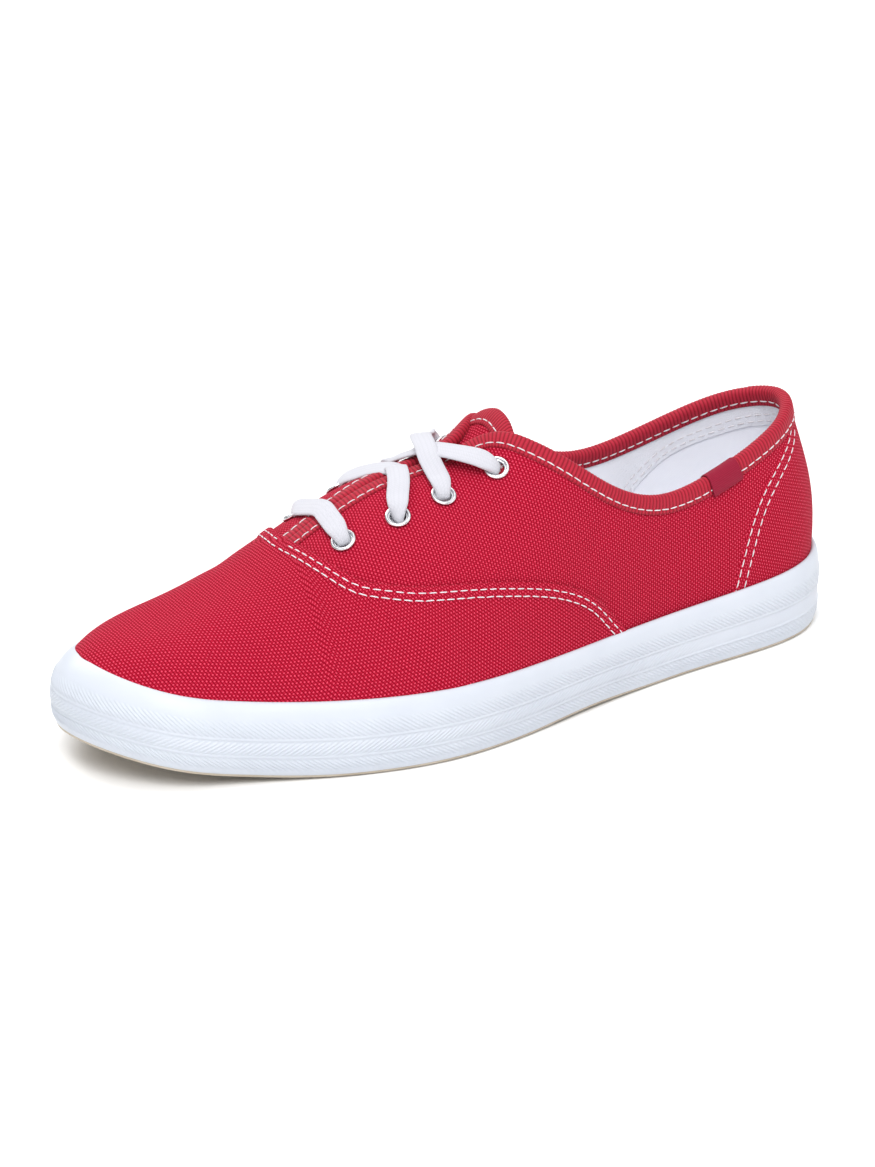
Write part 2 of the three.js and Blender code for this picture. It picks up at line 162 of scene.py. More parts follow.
# Half of the folded binding tape, from its lower edge to the fold: distance below the
# cloth's edge, height over the cloth, and how far its ribs stand out and over the edge.
TAPE_FACE = [
    [4.75, -0.05, 0, 0], [4.7, 0.36, 0.5, 0], [4.15, 0.5, 1, 0], [3.4, 0.38, 1, 0], [2.7, 0.54, 1, 0],
    [1.8, 0.66, 1, 0], [0.75, 0.7, 1, 0], [-0.1, 0.55, 1, 0.3], [-0.75, 0.05, 0.5, 0.8],
]
TAPE_BACK = [[3.0, 0.05], [0.6, 0.1]]  # the side on the cloth: distance below the edge, depth in it
TAPE_RIB = 0.13
TAPE_STITCHES = 3.4  # below the edge

# ---------- The view, made first ----------

SENSOR_WIDTH = 36
VIEW_DISTANCE = 985
VIEW_WIDTH = 255.5  # of what shows, at that distance
VIEW_AZIMUTH = math.radians(149.5)
VIEW_ELEVATION = math.radians(20.5)
VIEW_ROLL = math.radians(-1.0)
VIEW_CENTRE = Vector((0.00735, -0.0036, 0.033))


def place_in_scene(name, data):
    made = bpy.data.objects.new(name, data)
    bpy.context.scene.collection.objects.link(made)
    return made


def make_camera():
    heading = Vector((math.sin(VIEW_AZIMUTH), -math.cos(VIEW_AZIMUTH), 0))
    back = heading * math.cos(VIEW_ELEVATION) + Vector((0, 0, math.sin(VIEW_ELEVATION)))
    lens = bpy.data.cameras.new("view")
    lens.sensor_fit = "HORIZONTAL"
    lens.sensor_width = SENSOR_WIDTH
    lens.lens = SENSOR_WIDTH * VIEW_DISTANCE / VIEW_WIDTH
    lens.clip_start = 0.01
    camera = place_in_scene("view", lens)
    place = Matrix.Translation(VIEW_CENTRE + back * VIEW_DISTANCE * MM)
    level = back.to_track_quat("Z", "Y").to_matrix().to_4x4()
    camera.matrix_world = place @ level @ Matrix.Rotation(VIEW_ROLL, 4, "Z")
    bpy.context.scene.camera = camera


# ---------- Curves ----------

def smooth_curve(stations, values):
    """The curve of even curvature through the values at the stations."""
    stations = np.array(stations, float)
    values = np.array(values, float)
    spans = np.diff(stations)
    slopes = np.diff(values) / spans
    last = len(stations) - 1
    system = np.eye(last + 1)
    load = np.zeros(last + 1)
    for i in range(1, last):
        system[i, i - 1:i + 2] = spans[i - 1], 2 * (spans[i - 1] + spans[i]), spans[i]
        load[i] = 6 * (slopes[i] - slopes[i - 1])
    bend = np.linalg.solve(system, load)

    def curve(at):
        x = np.clip(at, stations[0], stations[-1])
        i = np.clip(np.searchsorted(stations, x) - 1, 0, last - 1)
        far = (x - stations[i]) / spans[i]
        near = 1 - far
        curved = (near**3 - near) * bend[i] + (far**3 - far) * bend[i + 1]
        return near * values[i] + far * values[i + 1] + curved * spans[i]**2 / 6

    return curve


def curve_through(rows):
    return smooth_curve([row[0] for row in rows], [row[1] for row in rows])


ridge_height = curve_through(RIDGE)
collar_height = curve_through(COLLAR)
foxing_top = curve_through(FOXING_TOP)


def lerp(low, high, share):
    return low + (high - low) * share


def ease(low, high, x):
    """0 before low, 1 after high, with a soft start and end."""
    share = np.clip((x - low) / (high - low), 0, 1)
    return share * share * (3 - 2 * share)


def unit(vectors):
    return vectors / np.maximum(np.linalg.norm(vectors, axis=-1, keepdims=True), 1e-9)


def lengths_along(points):
    """Distance from the first point to each point of a line."""
    steps = np.linalg.norm(np.diff(points, axis=0), axis=1)
    return np.concatenate([[0], np.cumsum(steps)])


def softened(values, reach=3):
    """A line's values, each the mean of its neighbours'."""
    padded = np.pad(values, ((reach, reach), (0, 0)), mode="edge")
    return sum(padded[i:i + len(values)] for i in range(2 * reach + 1)) / (2 * reach + 1)


def evenly(columns, count, along=None):
    """A line's columns sampled again at evenly spaced distances."""
    columns = np.asarray(columns, float)
    walked = lengths_along(columns if along is None else along)
    at = np.linspace(0, walked[-1], count)
    return np.stack([np.interp(at, walked, column) for column in columns.T], axis=1)


def ground(x):
    """The underside of the sole: flat at heel and ball, a low arch and the toe spring."""
    arch = np.clip((x - ARCH_FROM) / (ARCH_TO - ARCH_FROM), 0, 1)
    spring = np.maximum(0, (x - SPRING_FROM) / (SPRING_TO - SPRING_FROM))
    return ARCH_RISE * np.sin(math.pi * arch)**2 + TOE_SPRING * spring**2


def feather_height(x):
    return ground(x) + SOLE_THICKNESS + CLEARANCE


# ---------- The last: hoops round the whole foot ----------

HALF_TURN = len(HOOPS) - 1  # hoop 0 is at the heel and HALF_TURN at the toe
FULL_TURN = 2 * HALF_TURN
HOOP_STEP = 0.01
ANGLE_STEP = 0.004
HALVINGS = 40
HEIGHT_HOOPS = 1201
HEIGHT_SHARES = 81
LINE_STEPS = 400


def to_outer(hoop):
    """A hoop's place, or its mirrored place on the outer side, from 0 at the heel."""
    turned = hoop % FULL_TURN
    return np.minimum(turned, FULL_TURN - turned)


def ring_curve(value_of):
    stations = np.arange(-HALF_TURN, FULL_TURN + HALF_TURN + 1)
    turns = stations % FULL_TURN
    values = [value_of(HOOPS[min(turn, FULL_TURN - turn)], turn > HALF_TURN) for turn in turns]
    return smooth_curve(stations, values)


edge_x = ring_curve(lambda row, inner: row[0])
edge_y = ring_curve(lambda row, inner: row[2] if inner else row[1])
spine_x = ring_curve(lambda row, inner: row[3])
spine_y = ring_curve(lambda row, inner: (row[1] + row[2]) / 4)
fullness = ring_curve(lambda row, inner: row[4])

hoop_table = np.linspace(0, HALF_TURN, 4001)
spine_table = spine_x(hoop_table)


def hoop_at(x):
    """The hoop on the outer side whose spine stands at this station."""
    return np.interp(x, spine_table, hoop_table)


def ridge_line_y(x):
    return spine_y(hoop_at(x))


def heel_swell(x, z, foot):
    rise = np.clip((z - foot) / (HEEL_SWELL_TOP - foot), 0, 1)
    nearness = np.exp(-(((x - HEEL_BACK) / HEEL_SWELL_LENGTH) ** 2))
    return HEEL_SWELL * nearness * np.sin(math.pi * rise) ** 2


def wall(hoop, angle):
    """The outside of the canvas: angle 0 at the feather edge, a quarter turn at the ridge."""
    hoop = np.asarray(hoop, float)
    angle = np.clip(angle, 0, RIGHT_ANGLE)
    outer = to_outer(hoop)
    spread = np.maximum(np.cos(angle), 0) ** fullness(hoop)
    spread = np.where(angle < RIGHT_ANGLE, spread, 0)
    x = lerp(spine_x(outer), edge_x(hoop), spread)
    y = lerp(spine_y(outer), edge_y(hoop), spread)
    foot = feather_height(x)
    z = foot + (ridge_height(x) - foot) * np.sin(angle)
    return np.stack([x - heel_swell(x, z, foot), y, z], axis=-1)


def directions(hoop, angle):
    """How the wall runs along the foot and up it."""
    angle = np.clip(angle, ANGLE_STEP, RIGHT_ANGLE - ANGLE_STEP)
    along = (wall(hoop + HOOP_STEP, angle) - wall(hoop - HOOP_STEP, angle)) / (2 * HOOP_STEP)
    up = (wall(hoop, angle + ANGLE_STEP) - wall(hoop, angle - ANGLE_STEP)) / (2 * ANGLE_STEP)
    return along, up


def wall_normal(hoop, angle):
    along, up = directions(hoop, np.minimum(angle, math.radians(88)))
    side = unit(np.cross(up, along))
    x = wall(hoop, angle)[..., 0]
    slope = (ridge_height(x + 1) - ridge_height(x - 1)) / 2
    top = unit(np.stack([-slope, np.zeros_like(x), np.ones_like(x)], axis=-1))
    near_ridge = ease(math.radians(70), RIGHT_ANGLE, np.asarray(angle, float))[..., None]
    return unit(lerp(side, top, near_ridge))


def on_wall(hoop, angle, lift):
    return wall(hoop, angle) + wall_normal(hoop, angle) * np.asarray(lift, float)[..., None]


def angle_where(hoop, measure):
    """Halving the step finds the angle where a measure of the wall's points reaches zero."""
    low = np.zeros_like(hoop)
    high = np.full_like(hoop, RIGHT_ANGLE)
    for _ in range(HALVINGS):
        middle = (low + high) / 2
        positive = measure(wall(hoop, middle)) > 0
        low = np.where(positive, middle, low)
        high = np.where(positive, high, middle)
    return (low + high) / 2


def inside_top_edge(points):
    """Positive on the upper, zero along its collar and throat edge."""
    x, y, z = points[..., 0], points[..., 1], points[..., 2]
    below = collar_height(x) - z
    opening = (VAMP_POINT - x) / (VAMP_POINT - THROAT_TOP)
    aside = np.abs(y - ridge_line_y(x)) - THROAT_GAP * np.minimum(opening, 1) / 2
    overlap = np.maximum(CORNER_ROUNDING - np.abs(below - aside), 0)
    rounded = np.minimum(below, aside) - overlap**2 / (4 * CORNER_ROUNDING)
    return np.where(x < ANKLE, below, rounded)


ring_table = np.linspace(0, FULL_TURN, 2 * len(hoop_table) - 1)
top_table = np.where(
    spine_x(to_outer(ring_table)) >= VAMP_POINT, RIGHT_ANGLE, angle_where(ring_table, inside_top_edge))


def top_angle(hoop):
    """The angle of the collar or throat edge on each hoop."""
    return np.interp(np.asarray(hoop, float) % FULL_TURN, ring_table, top_table)


def looked_up(table, row_share, column_share):
    """A table's value between its entries, at shares from 0 to 1 down it and along it."""
    down = np.clip(row_share, 0, 1) * (table.shape[0] - 1)
    over = np.clip(column_share, 0, 1) * (table.shape[1] - 1)
    row = np.minimum(down.astype(int), table.shape[0] - 2)
    column = np.minimum(over.astype(int), table.shape[1] - 2)
    near = lerp(table[row, column], table[row, column + 1], over - column)
    far = lerp(table[row + 1, column], table[row + 1, column + 1], over - column)
    return lerp(near, far, down - row)


def even_heights(top):
    """From a hoop and a share, the angle at that share of the way up to a top edge."""
    hoops = np.linspace(0, FULL_TURN, HEIGHT_HOOPS)
    shares = np.linspace(0, 1, HEIGHT_SHARES)
    crowded = 1 - (1 - np.linspace(0, 1, 2 * HEIGHT_SHARES - 1)) ** 3
    angles = top(hoops)[:, None] * crowded
    steps = np.linalg.norm(np.diff(wall(hoops[:, None], angles), axis=1), axis=2)
    walked = np.pad(np.cumsum(steps, axis=1), ((0, 0), (1, 0)))
    table = np.array([np.interp(shares * way[-1], way, row) for way, row in zip(walked, angles)])
    return lambda hoop, share: looked_up(table, hoop % FULL_TURN / FULL_TURN, share)


def beside(hoop, angle, distance, steps=5):
    """A line on the wall moved sideways: down from a line that runs towards the toe."""
    hoop = np.array(hoop, float)
    angle = np.array(angle, float)
    for _ in range(steps):
        along, up = directions(hoop, angle)
        normal = unit(np.cross(up, along))
        points = wall(hoop, angle)
        heading = unit(softened(np.gradient(points, axis=0)))
        side = np.cross(normal, heading) * distance / steps
        aa, ab, bb = (along * along).sum(-1), (along * up).sum(-1), (up * up).sum(-1)
        sa, sb = (side * along).sum(-1), (side * up).sum(-1)
        size = aa * bb - ab * ab
        hoop = hoop + (sa * bb - sb * ab) / size
        angle = np.clip(angle + (sb * aa - sa * ab) / size, 0, RIGHT_ANGLE)
    return hoop, angle


def instep_place(x, across):
    """Hoop and angle of a point over the instep: across is positive to the outer side."""
    outer = hoop_at(x)
    hoop = np.where(across < 0, FULL_TURN - outer, outer)
    ridge = wall(hoop, np.full_like(hoop, RIGHT_ANGLE))
    reach = np.abs(across)
    angle = angle_where(hoop, lambda points: np.linalg.norm(points - ridge, axis=-1) - reach)
    return hoop, angle


def instep(x, across, lift):
    """Points over the instep at a height over the canvas."""
    x, across, lift = np.broadcast_arrays(*[np.asarray(v, float) for v in (x, across, lift)])
    point = wall(*instep_place(x, across))
    along = wall(*instep_place(x + 0.5, across)) - wall(*instep_place(x - 0.5, across))
    over = wall(*instep_place(x, across + 0.5)) - wall(*instep_place(x, across - 0.5))
    return point + unit(np.cross(along, over)) * lift[..., None]


def instep_normal(x, across):
    return unit(instep(x, across, 1.0) - instep(x, across, 0.0))


def spaced(hoops, angles, count):
    """A line on the wall as this many evenly spaced hoops and angles."""
    line = evenly(np.stack([hoops, angles], axis=1), count, along=wall(hoops, angles))
    return line[:, 0], line[:, 1]


def seam(rows, count):
    """A seam's table as a smooth line of hoops and angles."""
    stations = np.arange(len(rows))
    at = np.linspace(0, len(rows) - 1, LINE_STEPS)
    hoops = smooth_curve(stations, [row[0] for row in rows])(at)
    angles = np.clip(smooth_curve(stations, [math.radians(row[1]) for row in rows])(at), 0, RIGHT_ANGLE)
    return spaced(hoops, angles, count)


vamp_seam = beside(*seam(VAMP_EDGE, 200), -VAMP_RAISE)
heel_seam = seam(HEEL_EDGE, 120)
lining_seam = seam(LINING_EDGE, 160)


def mirrored(line):
    """The same line on the inner side."""
    return FULL_TURN - line[0], line[1]


def vamp_top(hoop):
    return np.interp(to_outer(hoop), *vamp_seam)


def heel_reach(angle):
    return np.interp(angle, *heel_seam[::-1])


def lining_edge(hoop):
    return np.interp(to_outer(hoop), *lining_seam)


quarter_angle = even_heights(top_angle)
vamp_angle = even_heights(vamp_top)
panel_shares = np.linspace(0, 1, HEIGHT_SHARES)
panel_reach = np.full_like(panel_shares, HEEL_EDGE[0][0])
for _ in range(HALVINGS):
    panel_reach = heel_reach(quarter_angle(panel_reach, panel_shares))


# ---------- Ways to make pieces ----------

def in_frame(points):
    return (np.asarray(points) - MIDDLE_OF_SOLE) * MM


def warped_grid(columns, rows, place):
    """A grid of faces whose corners are put in place by their shares along and up."""
    mesh = bmesh.new()
    mesh.loops.layers.uv.new("UVMap")
    bmesh.ops.create_grid(mesh, x_segments=columns, y_segments=rows, size=0.5, calc_uvs=True)
    corners = np.array([corner.co for corner in mesh.verts])
    shares = np.round((corners[:, :2] + 0.5) * (columns, rows)) / (columns, rows)
    for corner, point in zip(mesh.verts, in_frame(place(shares[:, 0], shares[:, 1]))):
        corner.co = point
    return mesh


def close_seams(mesh):
    bmesh.ops.remove_doubles(mesh, verts=mesh.verts, dist=2e-6)


def close_ends(mesh):
    rims = [edge for edge in mesh.edges if edge.is_boundary]
    bmesh.ops.holes_fill(mesh, edges=rims, sides=0)


def turn_out(mesh):
    """Points every face outwards."""
    bmesh.ops.recalc_face_normals(mesh, faces=mesh.faces)


def face_upright(mesh, sign):
    """Turns an open sheet's faces down where the sign is -1, and up where it is 1."""
    turn_out(mesh)
    if sign * sum(face.normal.z for face in mesh.faces) < 0:
        bmesh.ops.reverse_faces(mesh, faces=mesh.faces)


def grid_from_rows(rows):
    """A grid whose corners are the points of these rows."""
    rows = np.array(rows)
    count, columns = rows.shape[0] - 1, rows.shape[1] - 1

    def place(along, up):
        row = np.rint(up * count).astype(int)
        column = np.rint((1 - along) * columns).astype(int)
        return rows[row, column]

    return warped_grid(columns, count, place)


def ring_from_rows(rows):
    """A closed ring whose rows run all the way round it."""
    mesh = grid_from_rows(rows)
    close_seams(mesh)
    turn_out(mesh)
    return mesh


def lay_flat(mesh, place):
    """Sets a mesh's flat map from its points and their shares of the grid."""
    layer = mesh.loops.layers.uv.active
    for face in mesh.faces:
        for corner in face.loops:
            corner[layer].uv = place(corner.vert.co, corner[layer].uv)


def ribbon_from_rows(rows, long, wide):
    """A closed ribbon with capped ends, its flat map this long and wide in millimetres."""
    mesh = grid_from_rows(rows)
    lay_flat(mesh, lambda point, share: ((1 - share.x) * long * MM, (share.y - 0.5) * wide * MM))
    close_seams(mesh)
    close_ends(mesh)
    turn_out(mesh)
    return mesh


def finished(name, mesh):
    """Ends the making of a mesh, and gives its data."""
    data = bpy.data.meshes.new(name)
    mesh.to_mesh(data)
    mesh.free()
    return data


def add_piece(name, mesh, material, replaced=()):
    data = finished(name, mesh)
    data.shade_smooth()
    data.materials.append(material)
    piece = place_in_scene(name, data)
    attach(piece, "root")
    if replaced:
        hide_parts(*replaced)
    return piece


def give_wall(piece, thickness):
    """Gives a sheet its thickness on the side away from its normals."""
    shell = piece.modifiers.new("wall", "SOLIDIFY")
    shell.thickness = thickness * MM
    shell.offset = -1


def uv_values(data, name):
    """A mesh's flat map as complex numbers, one for each corner of each face."""
    flat = np.zeros(len(data.loops) * 2)
    data.uv_layers[name].uv.foreach_get("vector", flat)
    return flat.reshape(-1, 2) @ (1, 1j)


def set_uv_values(data, name, flat):
    data.uv_layers[name].uv.foreach_set("vector", np.stack([flat.real, flat.imag], axis=1).ravel())


def cut_pattern(place, columns, rows, upright):
    """Lays a coarse copy of a sheet flat, in metres, with its grain along the shoe.

    Gives a table of places in the cloth, a row for each share up and a column for each along."""
    mesh = warped_grid(columns, rows, place)
    close_seams(mesh)
    data = finished("pattern", mesh)
    piece = place_in_scene("pattern", data)
    shares = uv_values(data, "UVMap")
    data.uv_layers.active = data.uv_layers.new(name="cloth")
    bpy.ops.object.select_all(action="DESELECT")
    piece.select_set(True)
    bpy.context.view_layer.objects.active = piece
    bpy.ops.object.mode_set(mode="EDIT")
    bpy.ops.mesh.select_all(action="SELECT")
    bpy.ops.uv.unwrap(method="MINIMUM_STRETCH", iterations=60, margin=0)
    bpy.ops.object.mode_set(mode="OBJECT")
    flat = uv_values(data, "cloth")
    corners = np.zeros(len(data.loops), np.int32)
    data.loops.foreach_get("vertex_index", corners)
    points = np.zeros(len(data.vertices) * 3)
    data.vertices.foreach_get("co", points)
    points = points.reshape(-1, 3)[corners]
    flat -= flat.mean()
    wanted = points[:, 0] + 1j * (points @ np.array(upright, float))
    wanted -= wanted.mean()
    straight = (np.conj(flat) * wanted).sum()
    mirrored_fit = (flat * wanted).sum()
    if abs(mirrored_fit) > abs(straight):
        flat = np.conj(flat)
        straight = mirrored_fit
    steps = np.linalg.norm(np.diff(points, axis=0), axis=1)
    strides = np.abs(np.diff(flat))
    apart = strides > 1e-9
    flat *= straight / abs(straight) * np.median(steps[apart] / strides[apart])
    table = np.zeros((rows + 1, columns + 1), complex)
    table[np.rint(shares.imag * rows).astype(int), np.rint(shares.real * columns).astype(int)] = flat
    bpy.data.objects.remove(piece)
    bpy.data.meshes.remove(data)
    return table


def lay_grain(piece, table):
    """Turns a sheet's flat map from shares of its grid into places in the cloth."""
    shares = uv_values(piece.data, "UVMap")
    set_uv_values(piece.data, "UVMap", looked_up(table, shares.imag, shares.real))


# ---------- Finishes ----------

class Finish:
    """A material whose nodes are added and joined one at a time."""

    def __init__(self, name, **constants):
        self.material = bpy.data.materials.new(name)
        self.material.use_nodes = True
        self.nodes = self.material.node_tree.nodes
        self.links = self.material.node_tree.links
        self.shader = self.nodes["Principled BSDF"]
        for socket, value in constants.items():
            self.shader.inputs[socket.replace("_", " ")].default_value = value

    def node(self, kind, inputs=(), **settings):
        made = self.nodes.new(kind)
        for name, value in settings.items():
            setattr(made, name, value)
        for key, value in dict(inputs).items():
            self.put(made.inputs[key], value)
        return made

    def put(self, socket, value):
        if isinstance(value, bpy.types.NodeSocket):
            self.links.new(value, socket)
        else:
            socket.default_value = value

    def math(self, operation, *values):
        return self.node("ShaderNodeMath", dict(enumerate(values)), operation=operation).outputs[0]

    def ridges(self, value, rate=np.pi):
        """Rounded ridges, one for each whole number where the rate is half a turn."""
        return self.math("ABSOLUTE", self.math("SINE", self.math("MULTIPLY", value, rate)))

    def flat(self, pitch, pitch_up=None):
        """The unwrapped place on the cloth, counted in threads, along and up."""
        place = self.node("ShaderNodeUVMap", uv_map="UVMap").outputs[0]
        counts = (1 / (pitch * MM), 1 / ((pitch_up or pitch) * MM), 0)
        threads = self.node("ShaderNodeVectorMath", {0: place, 1: counts}, operation="MULTIPLY")
        split = self.node("ShaderNodeSeparateXYZ", {0: threads.outputs[0]})
        return threads.outputs[0], split.outputs[0], split.outputs[1]

    def noise(self, scale, detail=2.0, place=None):
        """Noise over a cloth's threads, or through the whole piece, per metre."""
        if place is None:
            place = self.node("ShaderNodeTexCoord").outputs["Object"]
        inputs = {"Vector": place, "Scale": scale, "Detail": detail}
        return self.node("ShaderNodeTexNoise", inputs).outputs[0]

    def ramp(self, share, *stops):
        """Colours at shares from 0 to 1."""
        ramp = self.node("ShaderNodeValToRGB", {0: share})
        colours = ramp.color_ramp.elements
        for i, (at, colour) in enumerate(stops):
            stop = colours[i] if i < 2 else colours.new(at)
            stop.position = at
            stop.color = (*colour, 1)
        return ramp.outputs[0]

    def tint(self, colour, by, low, high):
        """Darkens and lightens a colour a little by a share."""
        amount = self.node("ShaderNodeMapRange", {0: by, 3: low, 4: high}).outputs[0]
        return self.node(
            "ShaderNodeVectorMath", {0: colour, "Scale": amount}, operation="SCALE").outputs[0]

    def bump(self, height, depth, strength=1.0):
        """Raises the finish by a height of 0 to 1, times a depth in millimetres."""
        raised = self.node(
            "ShaderNodeBump", {"Height": height, "Distance": depth * MM, "Strength": strength})
        self.put(self.shader.inputs["Normal"], raised.outputs[0])

    def colour(self, colour):
        self.put(self.shader.inputs["Base Color"], colour)


PINK_SHEEN = (1, 0.5, 0.55, 1)
WEFT_SHARE = 0.62  # height of the threads up the shoe over those along it
TWILL_PITCH = 0.9
BRAID_PITCH = 0.8
SATIN_PITCH = 0.4


def plain_weave(finish, along, up):
    """Height of two sets of threads that pass over and under one another."""
    waves = [finish.math("SINE", finish.math("MULTIPLY", count, math.pi)) for count in (along, up)]
    over = finish.math("MULTIPLY", *waves)
    heights = []
    for wave, sign in zip(waves, (0.5, -0.5)):
        profile = finish.math("SQRT", finish.math("ABSOLUTE", wave))
        passing = finish.math("MULTIPLY_ADD", over, sign, 0.5)
        heights.append(finish.math("MULTIPLY", profile, passing))
    return finish.math("MAXIMUM", heights[0], finish.math("MULTIPLY", heights[1], WEFT_SHARE))


def make_canvas():
    finish = Finish(
        "red_canvas", Roughness=0.9, Sheen_Weight=0.06, Sheen_Roughness=0.4, Sheen_Tint=PINK_SHEEN,
        Specular_IOR_Level=0.1)
    threads, along, up = finish.flat(*CANVAS_THREADS)
    wander = finish.noise(0.3, 1.0, threads)
    slub = finish.math("MULTIPLY", finish.math("SUBTRACT", wander, 0.5), 0.6)
    weave = plain_weave(finish, finish.math("ADD", along, slub), finish.math("ADD", up, slub))
    # The red runs from dark in the weave's hollows to light on its crests: painted shade in the hollows and a
    # painted highlight on the crests, over the cloth's own red.
    red = finish.ramp(
        weave, (0.2, (0.18, 0.0, 0.007)), (0.86, (0.66, 0.06, 0.112)), (0.5, (0.4, 0.003, 0.025)))
    finish.colour(finish.tint(red, finish.noise(0.7, 3.0, threads), 0.84, 1.16))
    finish.bump(weave, 0.18)
    return finish.material


def make_tape_cloth():
    """Ribbed tape: its ribs are in the mesh, and fine threads cross them."""
    finish = Finish(
        "red_ribbed_tape", Roughness=0.75, Sheen_Weight=0.15, Sheen_Roughness=0.4,
        Sheen_Tint=PINK_SHEEN, Specular_IOR_Level=0.25)
    threads, along, up = finish.flat(RIB_PITCH)
    rib = finish.ridges(along)
    # The red is darker in the grooves between the ribs: painted shade, over the tape's own red.
    red = finish.ramp(rib, (0.1, (0.2, 0.003, 0.012)), (0.95, (0.42, 0.014, 0.036)))
    finish.colour(finish.tint(red, finish.noise(0.5, 3.0, threads), 0.88, 1.12))
    finish.bump(finish.math("MULTIPLY", finish.ridges(up, 9.0), rib), 0.05)
    return finish.material


def make_lining_cloth():
    finish = Finish("white_lining_twill", Roughness=0.9, Sheen_Weight=0.2)
    threads, along, up = finish.flat(TWILL_PITCH)
    twill = finish.ridges(finish.math("ADD", along, up))
    soft = finish.noise(0.15, 3.0, threads)
    white = finish.ramp(soft, (0.3, (0.89, 0.91, 0.97)), (0.8, (0.92, 0.94, 0.99)))
    # The twill's grooves are a little darker: painted shade.
    finish.colour(finish.tint(white, twill, 0.96, 1.0))
    finish.bump(twill, 0.05)
    return finish.material


def make_lace_cotton():
    """A flat braid: chevrons that meet along the middle of the lace."""
    finish = Finish("white_lace_cotton", Roughness=0.85, Sheen_Weight=0.3)
    _, along, across = finish.flat(BRAID_PITCH)
    folded = finish.math("ABSOLUTE", across)
    braid = finish.ridges(finish.math("ADD", along, folded))
    height = finish.math("MULTIPLY", braid, finish.ridges(folded))
    # The braid is a little darker in its hollows: painted shade.
    finish.colour(finish.ramp(height, (0.0, (0.5, 0.505, 0.55)), (0.5, (0.535, 0.535, 0.585))))
    finish.bump(height, 0.06, 0.8)
    return finish.material


def make_label_satin():
    finish = Finish("red_label_satin", Roughness=0.6, Specular_IOR_Level=0.2)
    fine = finish.ridges(finish.flat(SATIN_PITCH)[2])
    # The satin is darker in the grooves between its fine ridges: painted shade.
    finish.colour(finish.ramp(fine, (0.0, (0.2, 0.002, 0.02)), (0.9, (0.26, 0.006, 0.03))))
    finish.bump(fine, 0.03)
    return finish.material


def make_clouded(name, cloud, colours, grain, depth, **constants):
    """A finish tinted by one noise and roughened by another, each a scale and its detail."""
    finish = Finish(name, **constants)
    finish.colour(finish.ramp(finish.noise(*cloud), *colours))
    finish.bump(finish.noise(*grain), depth)
    return finish.material


def make_thread():
    colours = (0.3, (0.6, 0.575, 0.61)), (0.6, (0.72, 0.7, 0.73))
    strands = (2500.0, 2.0)
    return make_clouded("white_thread", strands, colours, strands, 0.05, Roughness=0.8, Sheen_Weight=0.2)


def make_white_rubber():
    colours = (0.3, (0.545, 0.58, 0.645)), (0.75, (0.58, 0.615, 0.675))
    return make_clouded(
        "white_foxing_rubber", (60.0, 4.0), colours, (1400.0, 3.0), 0.02,
        Roughness=0.42, IOR=1.5, Specular_IOR_Level=0.35)


def make_gum_rubber():
    colours = (0.3, (0.42, 0.36, 0.28)), (0.75, (0.52, 0.46, 0.38))
    return make_clouded("pale_gum_rubber", (90.0, 5.0), colours, (1800.0, 3.0), 0.05, Roughness=0.7)


def make_eyelet_metal():
    finish = Finish("rolled_nickel", Metallic=1.0)
    wear = finish.noise(900.0, 3.0)
    finish.colour(finish.ramp(wear, (0.35, (0.62, 0.63, 0.65)), (0.7, (0.82, 0.83, 0.85))))
    rough = finish.node("ShaderNodeMapRange", {0: wear, 3: 0.16, 4: 0.32}).outputs[0]
    finish.put(finish.shader.inputs["Roughness"], rough)
    return finish.material


# ---------- Creases ----------

# Soft troughs and ridges where the canvas has flexed: station, height, half length along
# the foot, half height, depth (troughs are negative) and lean of the fold.
CREASES = [
    [20, 33, 5, 13, -0.7, 0.35], [31, 30, 5, 12, 0.45, 0.4], [42, 33, 5, 12, -0.5, 0.5],
    [-2, 27, 6, 9, -0.45, 0.2], [66, 44, 5, 16, -0.35, 0.6], [-32, 27, 4, 6, -0.5, 0.3],
    [-60, 40, 12, 9, -0.5, 0.1], [10, 56, 6, 8, -0.35, -0.4], [-28, 48, 7, 9, -0.4, -0.5],
]


def creased(points):
    """How far the canvas is pushed in or out at each point."""
    total = np.zeros(len(points))
    for x, z, long, tall, depth, lean in CREASES:
        rise = points[:, 2] - z
        run = points[:, 0] - x - lean * rise
        total += depth * np.exp(-((run / long) ** 2) - (rise / tall) ** 2)
    return total


# ---------- Upper ----------

QUARTER_FRONT = 7.45  # hoop, under the vamp
PANEL_LAP = 0.25  # hoops of quarter under the heel panel
HOOP_LENGTH = 15  # of a hoop's step round the heel
LAP_REACH = 7.0  # hoops that the lining's upper part runs forward
PATTERN_GRID = (90, 24)
QUARTER_GRID = (210, 64)
VAMP_GRID = (360, 96)
HEEL_GRID = (120, 56)
LINING_ROWS_UP = 48
LINING_COLUMNS = 280
LAP_COLUMNS = 240
LINING_HEIGHT = 0.08  # metres of cloth up the shoe
SEAM_MARGIN = 0.05

EYELET_PLACES = [
    (x, side * inset, pair, name)
    for pair, (x, inset) in enumerate(EYELETS)
    for name, side in (("lateral", 1), ("medial", -1))
]
eyelet_centres = {
    (pair, name): instep(x, across, 0.0) for x, across, pair, name in EYELET_PLACES
}


def punch_eyelets(mesh):
    """Opens a sheet with a round hole under each eyelet's flange."""
    reach = (EYELET_BARREL + 0.1) * MM
    for centre in [Vector(in_frame(centre)) for centre in eyelet_centres.values()]:
        inside = [face for face in mesh.faces if (face.calc_center_median() - centre).length < reach]
        rim = {corner for face in inside for corner in face.verts}
        bmesh.ops.delete(mesh, geom=inside, context="FACES")
        for corner in rim:
            if corner.is_valid:
                corner.co = centre + (corner.co - centre).normalized() * reach


